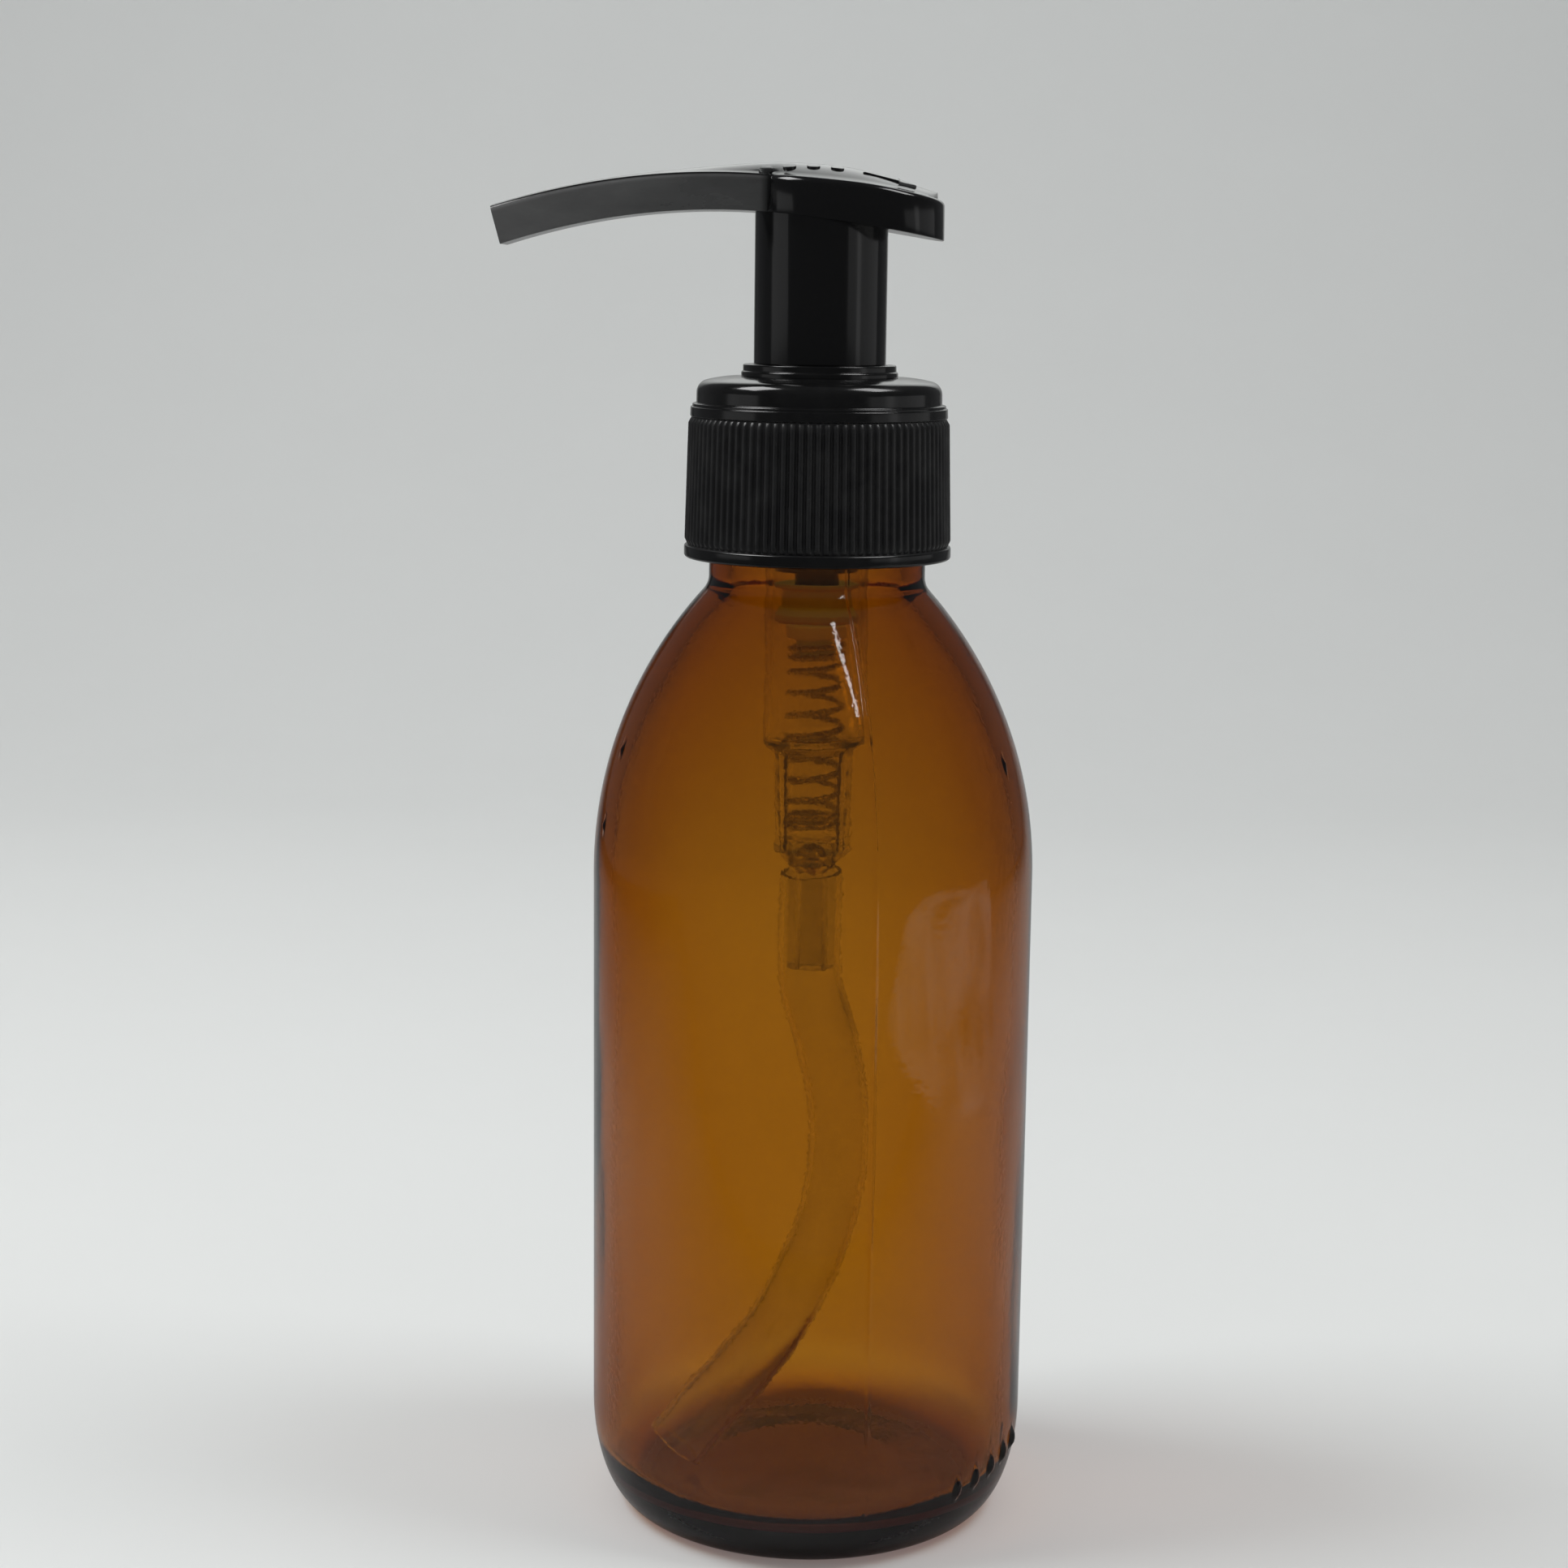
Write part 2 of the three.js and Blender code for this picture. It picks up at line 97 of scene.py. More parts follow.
# The thread on the neck, and the one inside the closure (CAP), which runs just under it.
THREAD_PITCH = 25.4 / 6
THREAD_TURNS = 1.5
THREAD_Z = 121.0
THREAD_R = 13.7
THREAD_HALF, THREAD_FLANK, THREAD_RUN_OUT = 1.25, 0.55, 0.35
CAP_THREAD_DROP, CAP_THREAD_DEPTH = 1.75, 1.1
CAP_THREAD_HALF, CAP_THREAD_FLANK, CAP_THREAD_RUN_OUT = 0.9, 0.45, 0.3

# The closure, the well of the locking collar, and the sleeve that slides in it.
RIBS = 96
WELL_R = 7.95
WELL_OUT = 8.65
WELL_FLOOR = 121.0
SLEEVE_R = 7.62
SLEEVE_BORE = 6.4


# ---- Mesh helpers ---------------------------------------------

def filleted(corners, closed=False, steps=6):
    """Outline from (r, z, fillet radius) corners, each corner rounded by its own radius."""
    count = len(corners)
    points = []
    for i, (r, z, radius) in enumerate(corners):
        here = np.array([r, z], float)
        ends = not closed and i in (0, count - 1)
        if ends or radius <= 0:
            points.append(here)
            continue
        before = np.array(corners[i - 1][:2], float)
        after = np.array(corners[(i + 1) % count][:2], float)
        back = (before - here) / np.linalg.norm(before - here)
        ahead = (after - here) / np.linalg.norm(after - here)
        half = math.acos(np.clip(back @ ahead, -1, 1)) / 2
        reach = radius / math.tan(half)
        centre = here + (back + ahead) / np.linalg.norm(back + ahead) * radius / math.sin(half)
        start = here + back * reach - centre
        end = here + ahead * reach - centre
        turn = math.acos(np.clip(start @ end / radius ** 2, -1, 1))
        for k in range(steps + 1):
            share = k / steps
            blend = (math.sin((1 - share) * turn) * start + math.sin(share * turn) * end)
            points.append(centre + blend / math.sin(turn))
    return np.array(points)


def arc(cx, cz, rx, rz, start, end, steps):
    """Points on an ellipse about (cx, cz) between two angles."""
    angles = np.linspace(start, end, steps + 1)
    return np.column_stack([cx + rx * np.cos(angles), cz + rz * np.sin(angles)])


def arched(start, end, steps):
    """Points from start to end along a flat arch that is level at its end."""
    share = np.linspace(0, 1, steps + 1)
    r = start[0] + (end[0] - start[0]) * share
    z = end[1] - (end[1] - start[1]) * (1 - share) ** 2
    return np.column_stack([r, z])


def resampled(outline, longest):
    """The outline with its long stretches split so that no step is over longest."""
    points = [outline[0]]
    for a, b in zip(outline[:-1], outline[1:]):
        parts = max(1, int(np.ceil(np.linalg.norm(b - a) / longest)))
        for k in range(1, parts + 1):
            points.append(a + (b - a) * k / parts)
    return np.array(points)


def new_object(name, data):
    """An object in the scene."""
    obj = bpy.data.objects.new(name, data)
    bpy.context.scene.collection.objects.link(obj)
    return obj


def ring_faces(count, sides):
    """Faces between neighbours in a stack of rings with a number of sides."""
    faces = []
    for j in range(count - 1):
        for i in range(sides):
            k = (i + 1) % sides
            faces.append((j * sides + i, j * sides + k, (j + 1) * sides + k, (j + 1) * sides + i))
    return faces


def make_object(name, verts, faces, material, sharp=35):
    """A shaded object from vertices in millimetres; its faces are turned to point out."""
    verts = np.asarray(verts, float) * MM
    tris = np.array([(f[0], f[k], f[k + 1]) for f in faces for k in range(1, len(f) - 1)])
    a, b, c = verts[tris[:, 0]], verts[tris[:, 1]], verts[tris[:, 2]]
    if np.einsum("ij,ij->", a, np.cross(b, c)) < 0:
        faces = [tuple(reversed(f)) for f in faces]
    mesh = bpy.data.meshes.new(name)
    mesh.from_pydata(verts.tolist(), [], faces)
    mesh.validate()
    mesh.shade_smooth()
    mesh.set_sharp_from_angle(angle=math.radians(sharp))
    mesh.materials.append(material)
    return new_object(name, mesh)


def lathe(outline, angles, displace=None):
    """Vertices and faces of a solid of revolution about Z. An outline that isn't a closed loop
    starts and ends on the axis. displace(angle, r, z, index) gives a change of radius."""
    outline = np.asarray(outline, float)
    on_axis = outline[0][0] < 1e-9 and outline[-1][0] < 1e-9
    body = outline[1:-1] if on_axis else outline
    rows, columns = len(angles), len(body)
    theta = np.asarray(angles)[:, None]
    r = np.repeat(body[None, :, 0], rows, axis=0)
    z = np.repeat(body[None, :, 1], rows, axis=0)
    if displace is not None:
        r = r + displace(theta, r, z, np.arange(columns)[None, :])
    verts = np.stack([r * np.cos(theta), r * np.sin(theta), z], axis=-1).reshape(-1, 3)
    faces = []
    last = columns - 1 if on_axis else columns
    for j in range(rows):
        here, there = j * columns, (j + 1) % rows * columns
        for i in range(last):
            k = (i + 1) % columns
            faces.append((here + i, here + k, there + k, there + i))
    if on_axis:
        low, high = len(verts), len(verts) + 1
        verts = np.vstack([verts, [[0, 0, outline[0][1]], [0, 0, outline[-1][1]]]])
        for j in range(rows):
            here, there = j * columns, (j + 1) % rows * columns
            faces.append((low, here, there))
            faces.append((high, there + columns - 1, here + columns - 1))
    return verts, faces


def even_angles(count):
    """Angles that divide a full turn evenly."""
    return np.arange(count) * TAU / count


def turned(name, outline, sides, material):
    """A plain solid of revolution as an object."""
    return make_object(name, *lathe(outline, even_angles(sides)), material)


def swept(path, section):
    """Rings of section points (across, up), carried along a path without twisting."""
    path = np.asarray(path, float)
    tangent = np.gradient(path, axis=0)
    tangent /= np.linalg.norm(tangent, axis=1)[:, None]
    off_axis = [0, 1, 0.3]
    side = np.cross(tangent[0], off_axis)
    side /= np.linalg.norm(side)
    rings = []
    for point, along in zip(path, tangent):
        side = side - along * (side @ along)
        side /= np.linalg.norm(side)
        up = np.cross(along, side)
        rings.append(point + section[:, :1] * side + section[:, 1:] * up)
    return np.array(rings)


def skinned(rings):
    """Faces over a stack of equal rings, with flat ends."""
    count, sides = rings.shape[:2]
    faces = ring_faces(count, sides)
    faces.append(tuple(range(sides))[::-1])
    faces.append(tuple((count - 1) * sides + i for i in range(sides)))
    return rings.reshape(-1, 3), faces


def joined(*parts):
    """Several (vertices, faces) as one."""
    verts, faces, start = [], [], 0
    for part_verts, part_faces in parts:
        verts.append(np.asarray(part_verts, float))
        faces += [tuple(start + i for i in f) for f in part_faces]
        start += len(part_verts)
    return np.vstack(verts), faces


def oriented(verts, faces, name, material):
    """An object of triangles whose directions are made to agree."""
    obj = make_object(name, verts, faces, material)
    work = bmesh.new()
    work.from_mesh(obj.data)
    bmesh.ops.recalc_face_normals(work, faces=work.faces)
    bmesh.ops.triangulate(work, faces=work.faces)
    work.to_mesh(obj.data)
    work.free()
    return obj


def placed(obj, body, slot, *nodes):
    """The piece rides on a body and stands for CAD nodes, which it hides; slot is not used."""
    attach(obj, body)
    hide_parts(*nodes)
    return obj


def smoothed(obj, degrees):
    """Smooth shading with sharp edges over an angle, set again after booleans."""
    obj.data.shade_smooth()
    obj.data.set_sharp_from_angle(angle=math.radians(degrees))


def boolean(obj, tool, operation):
    """Apply an exact boolean and drop the tool."""
    modifier = obj.modifiers.new("cut", "BOOLEAN")
    modifier.object = tool
    modifier.operation = operation
    modifier.solver = "EXACT"
    bpy.context.view_layer.update()
    depsgraph = bpy.context.evaluated_depsgraph_get()
    mesh = bpy.data.meshes.new_from_object(obj.evaluated_get(depsgraph))
    obj.modifiers.clear()
    obj.data = mesh
    bpy.data.objects.remove(tool)
    return obj


# ---- Materials ------------------------------------------------

class Material:
    """One procedural material. Each method adds a node and returns the socket it gives."""

    def __init__(self, name):
        self.material = bpy.data.materials.new(name)
        self.material.use_nodes = True
        self.tree = self.material.node_tree
        self.shader = self.tree.nodes["Principled BSDF"]
        self.output = self.tree.nodes["Material Output"]
        place = self.tree.nodes.new("ShaderNodeTexCoord")
        self.position, self.facing = place.outputs["Object"], place.outputs["Normal"]

    def node(self, kind, **values):
        """A node of a kind; values are its settings or its inputs' numbers."""
        node = self.tree.nodes.new(kind)
        for key, value in values.items():
            if hasattr(node, key):
                setattr(node, key, value)
            else:
                node.inputs[key.replace("_", " ")].default_value = value
        return node

    def link(self, a, b):
        self.tree.links.new(a, b)

    def keep(self, socket, value):
        """Set one of the shader's inputs to a uniform value."""
        self.shader.inputs[socket].default_value = value

    def drive(self, socket, value):
        """Feed one of the shader's inputs."""
        self.link(value, self.shader.inputs[socket])

    def stretched(self, x, y, z):
        """The object's own coordinates, scaled along each axis."""
        mapping = self.node("ShaderNodeMapping")
        mapping.inputs["Scale"].default_value = (x, y, z)
        self.link(self.position, mapping.inputs["Vector"])
        return mapping.outputs["Vector"]

    def noise(self, scale, detail=3.0, roughness=0.5, vector=None):
        noise = self.node("ShaderNodeTexNoise", Scale=scale, Detail=detail, Roughness=roughness)
        self.link(vector or self.position, noise.inputs["Vector"])
        return noise.outputs["Fac"]

    def remap(self, value, low, high, to_low, to_high):
        """A value's range low to high, stretched to another and clamped."""
        node = self.node("ShaderNodeMapRange")
        numbers = (low, high, to_low, to_high)
        names = ("From Min", "From Max", "To Min", "To Max")
        for name, number in zip(names, numbers):
            node.inputs[name].default_value = number
        self.link(value, node.inputs["Value"])
        return node.outputs["Result"]

    def maths(self, operation, a, b):
        """A Math node's result from two sockets or numbers."""
        node = self.node("ShaderNodeMath", operation=operation)
        for socket, value in zip(node.inputs, (a, b)):
            if isinstance(value, (int, float)):
                socket.default_value = value
            else:
                self.link(value, socket)
        return node.outputs["Value"]

    def ramp(self, value, dark, light, low=0.0, high=1.0):
        """A colour between dark and light."""
        node = self.node("ShaderNodeValToRGB")
        first, second = node.color_ramp.elements
        first.position, second.position = low, high
        first.color, second.color = (*dark, 1), (*light, 1)
        self.link(value, node.inputs["Fac"])
        return node.outputs["Color"]

    def bump(self, height, distance, strength=1.0):
        """A normal from a height; the distance is in metres."""
        node = self.node("ShaderNodeBump", Strength=strength, Distance=distance)
        self.link(height, node.inputs["Height"])
        return node.outputs["Normal"]

    def scratched(self):
        """Fine upright scratches in the surface."""
        scratch = self.noise(900, 2, 0.5, self.stretched(1, 1, 0.08))
        self.drive("Normal", self.bump(scratch, 0.00002, 0.35))

    def lamps_pass(self):
        """Rays from lamps go straight through, so what is inside is lit."""
        rays = self.node("ShaderNodeLightPath")
        clear = self.node("ShaderNodeBsdfTransparent")
        mix = self.node("ShaderNodeMixShader")
        passing = self.maths("MAXIMUM", rays.outputs["Is Shadow Ray"],
                             rays.outputs["Is Diffuse Ray"])
        self.link(passing, mix.inputs["Fac"])
        self.link(self.shader.outputs["BSDF"], mix.inputs[1])
        self.link(clear.outputs["BSDF"], mix.inputs[2])
        self.link(mix.outputs["Shader"], self.output.inputs["Surface"])


def amber_glass():
    """Clear glass, amber by absorption, with faint haze, moulding waves and fine pits."""
    m = Material("amber_glass")
    m.keep("Base Color", (1, 1, 1, 1))
    m.keep("IOR", 1.51)
    m.keep("Transmission Weight", 1)
    haze = m.noise(90, 5, 0.6, m.stretched(1, 1, 0.35))
    m.drive("Roughness", m.remap(haze, 0.45, 0.75, 0.0, 0.05))
    waves = m.noise(55, 2, 0.4, m.stretched(1, 1, 0.35))
    pits = m.maths("MULTIPLY", m.noise(1400, 2, 0.5), 0.014)
    m.drive("Normal", m.bump(m.maths("ADD", waves, pits), 0.0011, 0.6))
    absorption = m.node("ShaderNodeVolumeAbsorption")
    absorption.inputs["Color"].default_value = (0.838, 0.663, 0.05, 1)
    absorption.inputs["Density"].default_value = 1300
    m.link(absorption.outputs["Volume"], m.output.inputs["Volume"])
    m.lamps_pass()
    return m.material


def black_plastic(name, gloss, dark, light):
    """Black plastic: its least roughness, and its tones clean and dusty."""
    m = Material(name)
    cloud = m.noise(300, 4, 0.6)
    m.drive("Base Color",
            m.ramp(cloud, (dark, dark, dark * 1.05), (light, light, light), 0.4, 0.75))
    smear = m.noise(120, 5, 0.65, m.stretched(1, 1, 0.25))
    m.drive("Roughness", m.remap(smear, 0.3, 0.7, gloss, gloss + 0.12))
    m.scratched()
    return m.material


def sheen_painted_plastic():
    """Glossy black with a painted sheen: a greyer colour and a satin roughness on the two sides of
    the spout.
    """
    m = Material("sheen_painted_black")
    facing = m.node("ShaderNodeSeparateXYZ")
    m.link(m.facing, facing.inputs["Vector"])
    # Painted sheen: faces of the spout that point sideways get a lighter grey colour in place of
    # the light they reflect.
    side = m.remap(m.maths("ABSOLUTE", facing.outputs["Y"], 0), 0.7, 0.92, 0, 1)
    place = m.node("ShaderNodeSeparateXYZ")
    m.link(m.position, place.inputs["Vector"])
    on_spout = m.remap(place.outputs["X"], -0.007, -0.006, 1, 0)
    along = m.remap(place.outputs["X"], -0.03, -0.006, 1, 0.55)
    cloud = m.noise(260, 5, 0.65, m.stretched(0.4, 1, 1))
    sheen_cloud = m.maths("MULTIPLY", m.remap(cloud, 0.3, 0.7, 0.7, 1), m.maths("MULTIPLY", side, along))
    painted_sheen = m.maths("MULTIPLY", sheen_cloud, on_spout)
    # Painted sheen: the grey base colour on the spout's sides, broken up by a random cloud.
    m.drive("Base Color", m.ramp(painted_sheen, (0.004, 0.004, 0.0042), (0.14, 0.14, 0.14)))
    m.drive("Roughness", m.remap(painted_sheen, 0, 1, 0.13, 0.38))
    m.scratched()
    return m.material


def natural_plastic():
    """The uncoloured, cloudy plastic of the housing and the dip tube."""
    m = Material("natural_plastic")
    m.keep("IOR", 1.49)
    m.keep("Transmission Weight", 0.98)
    cloud = m.noise(200, 3)
    m.drive("Base Color", m.ramp(cloud, (0.93, 0.92, 0.88), (0.98, 0.975, 0.95)))
    m.drive("Roughness", m.remap(cloud, 0.3, 0.7, 0.07, 0.17))
    m.lamps_pass()
    return m.material


def white_plastic():
    """The milky plastic of the piston and its seat."""
    m = Material("white_plastic")
    cloud = m.noise(400, 3)
    m.drive("Base Color", m.ramp(cloud, (0.55, 0.53, 0.48), (0.7, 0.68, 0.62)))
    m.drive("Roughness", m.remap(cloud, 0.3, 0.7, 0.3, 0.45))
    m.keep("Subsurface Weight", 0.2)
    m.keep("Subsurface Radius", (0.001, 0.001, 0.001))
    return m.material


def foam():
    """The gasket's pale foam, with small cells."""
    m = Material("foam")
    cells = m.node("ShaderNodeTexVoronoi", Scale=2500.0)
    m.link(m.position, cells.inputs["Vector"])
    m.drive("Base Color",
            m.ramp(cells.outputs["Distance"], (0.7, 0.69, 0.66), (0.85, 0.84, 0.81)))
    m.drive("Normal", m.bump(cells.outputs["Distance"], 0.0001))
    m.drive("Roughness", m.remap(cells.outputs["Distance"], 0, 1, 0.7, 0.9))
    return m.material


def steel():
    """Drawn steel of the spring and the ball."""
    m = Material("steel")
    m.keep("Metallic", 1)
    drawn = m.noise(1500, 3, 0.6)
    m.drive("Base Color", m.ramp(drawn, (0.42, 0.42, 0.43), (0.62, 0.62, 0.63)))
    m.drive("Roughness", m.remap(drawn, 0.3, 0.7, 0.16, 0.34))
    return m.material


GLASS = amber_glass()
GLOSS_BLACK = black_plastic("gloss_black", 0.1, 0.0035, 0.008)
RIBBED_BLACK = black_plastic("ribbed_black", 0.32, 0.011, 0.024)
SHEEN_PAINTED_BLACK = sheen_painted_plastic()
NATURAL = natural_plastic()
WHITE = white_plastic()
FOAM = foam()
STEEL = steel()


# ---- Bottle ---------------------------------------------------

def shoulder_curve(offset, wall, start_z):
    """The shoulder's big arc and the small hollow fillet that joins it to the neck."""
    centre = BODY_R - SHOULDER_R
    radius = SHOULDER_R - offset
    meet = math.acos((wall + NECK_FILLET - centre) / (radius + NECK_FILLET))
    fillet_z = start_z + (radius + NECK_FILLET) * math.sin(meet)
    big = arc(centre, start_z, radius, radius, 0, meet, 44)
    small = arc(wall + NECK_FILLET, fillet_z, NECK_FILLET, NECK_FILLET,
                math.pi + meet, math.pi, 8)
    return np.vstack([big, small[1:]])


def thread_height(theta, z):
    """How far the neck's thread stands out: a rounded ridge on a rising helix."""
    turn = np.mod(theta, TAU)
    height = np.zeros(np.broadcast(theta, z).shape)
    for lap in range(2):
        along = turn + lap * TAU
        left = np.minimum(along, THREAD_TURNS * TAU - along)
        inside = np.clip(left / THREAD_RUN_OUT, 0, 1)
        offset = np.abs(z - THREAD_Z - THREAD_PITCH * along / TAU)
        ridge = np.clip((THREAD_HALF - offset) / THREAD_FLANK, 0, 1)
        ridge = ridge * ridge * (3 - 2 * ridge)
        height = np.maximum(height, (THREAD_R - NECK_R) * ridge * np.sqrt(inside))
    return height


def seam_height(theta, r):
    """The mould's two parting lines."""
    tall, wide = 0.07, 0.22
    height = 0
    for angle in (SEAM_ANGLE, SEAM_ANGLE + math.pi):
        away = np.angle(np.exp(1j * (theta - angle))) * r
        height = height + tall * np.exp(-(away / wide) ** 2)
    return height


# Places as (degrees round, height) in millimetres; a blister also has its radius.
HEEL_DOTS = [(-46 + 7.2 * k, 7.6 + 0.5 * k) for k in range(5)]
BLEMISHES = [(-160, 93, 0.5), (-161, 84, 0.4), (-24, 92, 0.5), (-16, 83, 0.4)]


def bump_height(theta, r, z):
    """Raised drops at the heel and small blisters in the shoulder."""
    height = 0
    for degrees, rise in HEEL_DOTS:
        away = np.angle(np.exp(1j * (theta - math.radians(degrees)))) * r
        lift = z - rise
        wide = np.where(lift > 0, 0.95, 0.7)
        drop = 1 - (away / 0.62) ** 2 - (lift / (1.5 * wide)) ** 2
        height = height + 0.55 * np.sqrt(np.clip(drop, 0, 1))
    for degrees, rise, size in BLEMISHES:
        away = np.angle(np.exp(1j * (theta - math.radians(degrees)))) * r
        drop = 1 - (away / size) ** 2 - ((z - rise) / size) ** 2
        height = height + 0.3 * np.sqrt(np.clip(drop, 0, 1))
    return height


def blown_waves(theta, z):
    """Uneven wall thickness of the blown inside: a few smooth waves of random phase."""
    chance = np.random.default_rng(7)
    waves = 0
    for _ in range(14):
        around = chance.integers(1, 9)
        tall = chance.uniform(-1, 1) * TAU / 45
        phase = chance.uniform(0, TAU)
        waves = waves + np.sin(around * theta + tall * z + phase) * 0.5 / (1 + around)
    fade = np.clip((z - 8) / 12, 0, 1) * np.clip((108 - z) / 12, 0, 1)
    return 0.14 * waves * fade


def bottle_angles():
    """Even angles, with closer ones over the seams, drops and blisters."""
    least_gap = 0.0012
    angles = list(even_angles(288))
    for angle in (SEAM_ANGLE, SEAM_ANGLE + math.pi):
        angles += list(angle + np.linspace(-0.04, 0.04, 21))
    for degrees, _ in HEEL_DOTS:
        angles += list(math.radians(degrees) + np.linspace(-0.035, 0.035, 13))
    for degrees, _, size in BLEMISHES:
        angles += list(math.radians(degrees) + np.linspace(-1, 1, 9) * size * 1.3 / BODY_R)
    angles = np.sort(np.mod(angles, TAU))
    return angles[np.diff(angles, prepend=angles[-1] - TAU) > least_gap]


def bottle():
    """The glass: outside from the base up to the lip, then down the inside."""
    heel = arc(RING_OUT, HEEL_H, BODY_R - RING_OUT, HEEL_H, -math.pi / 2, 0, 36)
    base = filleted([(0, PUSH_UP, 0), (12, PUSH_UP, 3), (RING_IN, 0, 1.2), (RING_OUT, 0, 0)])
    lip = filleted([(NECK_R, NECK_Z, 0), (NECK_R, MOUTH_Z, 0.7), (BORE_R, MOUTH_Z, 0.5),
                    (BORE_R, NECK_Z, 0)])
    outer_shoulder = shoulder_curve(0, NECK_R, SHOULDER_Z)
    inner_shoulder = shoulder_curve(WALL, BORE_R, SHOULDER_Z - SHOULDER_EXTRA)[::-1]
    inner_r = BODY_R - WALL
    inner_heel = arc(RING_IN, INNER_HEEL_H, inner_r - RING_IN, INNER_HEEL_H - BASE, 0,
                     -math.pi / 2, 16)
    inner_base = np.array([[12, BASE + 0.1], [6, BASE + 0.3], [0, BASE + 0.4]])
    wall = np.array([[BODY_R, HEEL_H], [BODY_R, SHOULDER_Z]])
    outer = np.vstack([base[:-1], heel, resampled(wall, 2.5)[1:-1], outer_shoulder])
    outer = np.vstack([outer, resampled(np.vstack([outer[-1], lip[:1]]), 0.5)[1:]])
    neck = resampled(lip, 0.3)[1:]
    inner_wall = resampled(np.array([inner_shoulder[-1], inner_heel[0]]), 2.5)
    outline = np.vstack([outer, neck, inner_shoulder, inner_wall[1:-1], inner_heel, inner_base])
    split = len(outer) + int(np.argmax(neck[:, 0] < NECK_R - 1)) - 1

    def displace(theta, r, z, index):
        """Marks and thread outside, waves inside; none at the base or the lip."""
        outside = (index < split) & (z > 0.3)
        raised = seam_height(theta, r) + bump_height(theta, r, z)
        raised = raised + thread_height(theta, z) * (r > NECK_R - 0.1) * (z > NECK_Z - 1)
        fade = np.clip(z / 3, 0, 1) * np.clip((MOUTH_Z - 1 - z) / 1, 0, 1)
        inside = (index >= split) & (r > BORE_R + 0.5)
        return np.where(outside, raised * fade, np.where(inside, blown_waves(theta, z), 0))

    verts, faces = lathe(outline, bottle_angles(), displace)
    obj = make_object("glass_bottle", verts, faces, GLASS, sharp=60)
    return placed(obj, "bottle", "amber_glass", "bottle")


# ---- Closure --------------------------------------------------

def closure():
    """The screw cap: a smooth rim, the ribbed skirt, a band and a domed top with a hole."""
    low, high = closure_low[2], closure_high[2]
    rim, rib_top, band_top = low + 1.4, low + 16.1, low + 17.7
    bore_r, rim_r, foot_r, head_r, band_r, step_r = 14.15, 15.53, 15.1, 14.72, 14.9, 14.66
    crest_low, crest_high = 15.5, 15.09
    rounding, steepest = 1.5, math.radians(75)
    dome_r, fall, hole = 14.18, 0.45, 9.3
    top_edge = high - fall - rounding * math.sin(steepest)
    lower = filleted([
        (bore_r, low, 0.3), (rim_r, low, 0.35), (rim_r, rim, 0.3), (foot_r, rim + 0.12, 0.1),
        (head_r, rib_top, 0.1), (band_r, rib_top + 0.15, 0.1), (14.86, band_top - 0.4, 0.12),
        (step_r, band_top - 0.36, 0.06), (step_r, band_top, 0.18),
        (dome_r + 0.02, band_top, 0.12), (dome_r, top_edge, 0),
    ], steps=5)
    dome = arc(dome_r - rounding, top_edge, rounding, rounding, 0, steepest, 14)
    crown = arched(dome[-1], (hole + 0.2, high), 12)
    inside = filleted([
        (hole + 0.2, high, 0), (hole, high - 0.2, 0.1), (hole, high - 1.3, 0.1),
        (13.5, high - 1.3, 0.4), (13.5, MOUTH_Z + 0.3, 0.1), (bore_r, MOUTH_Z, 0.1),
        (bore_r, low, 0.3),
    ], steps=4)
    start = int(np.argmax(lower[:, 0] > 14.5))
    outline = np.vstack([lower[start:], dome[1:], crown[1:], inside[1:-1], lower[:start]])
    outline = resampled(np.vstack([outline, outline[:1]]), 0.6)[:-1]

    def ribs(theta, r, z, _index):
        """Ribs outside between the rim and the band, and the thread in the bore."""
        wave = 0.5 + 0.5 * np.cos(RIBS * theta)
        crest = np.clip(wave * 1.5 - 0.12, 0, 1) ** 0.8
        between = np.clip((z - rim - 0.12) / 0.25, 0, 1) * np.clip((rib_top - z) / 0.3, 0, 1)
        share = np.clip((z - rim) / (rib_top - rim), 0, 1)
        flute = crest_low + (crest_high - crest_low) * share
        outside = (r > 14.6) & (z < band_top - 0.5)
        ribbed = np.where(outside, (flute - r) * crest * between, 0)
        in_bore = (r < 14.5) & (r > 14.0) & (z < MOUTH_Z - 2) & (z > low + 0.5)
        start_z = THREAD_Z - CAP_THREAD_DROP
        thread = 0
        for lap in range(3):
            along = np.mod(theta, TAU) + (lap - 1) * TAU
            left = np.minimum(along + 0.8 * math.pi, 1.7 * math.pi - along)
            valid = np.clip(left / CAP_THREAD_RUN_OUT, 0, 1)
            offset = np.abs(z - start_z - THREAD_PITCH * along / TAU)
            ridge = np.clip((CAP_THREAD_HALF - offset) / CAP_THREAD_FLANK, 0, 1)
            thread = np.maximum(thread, CAP_THREAD_DEPTH * ridge * valid)
        return ribbed - np.where(in_bore, thread, 0)

    verts, faces = lathe(outline, even_angles(RIBS * 10), ribs)
    obj = make_object("ribbed_closure", verts, faces, RIBBED_BLACK, sharp=50)
    obj.data.materials.append(GLOSS_BLACK)
    for polygon in obj.data.polygons:
        height = polygon.center.z / MM
        if height > rib_top + 0.05 or height < rim:
            polygon.material_index = 1
    placed(obj, "closure", "black_plastic", "closure")


# ---- Pump body ------------------------------------------------

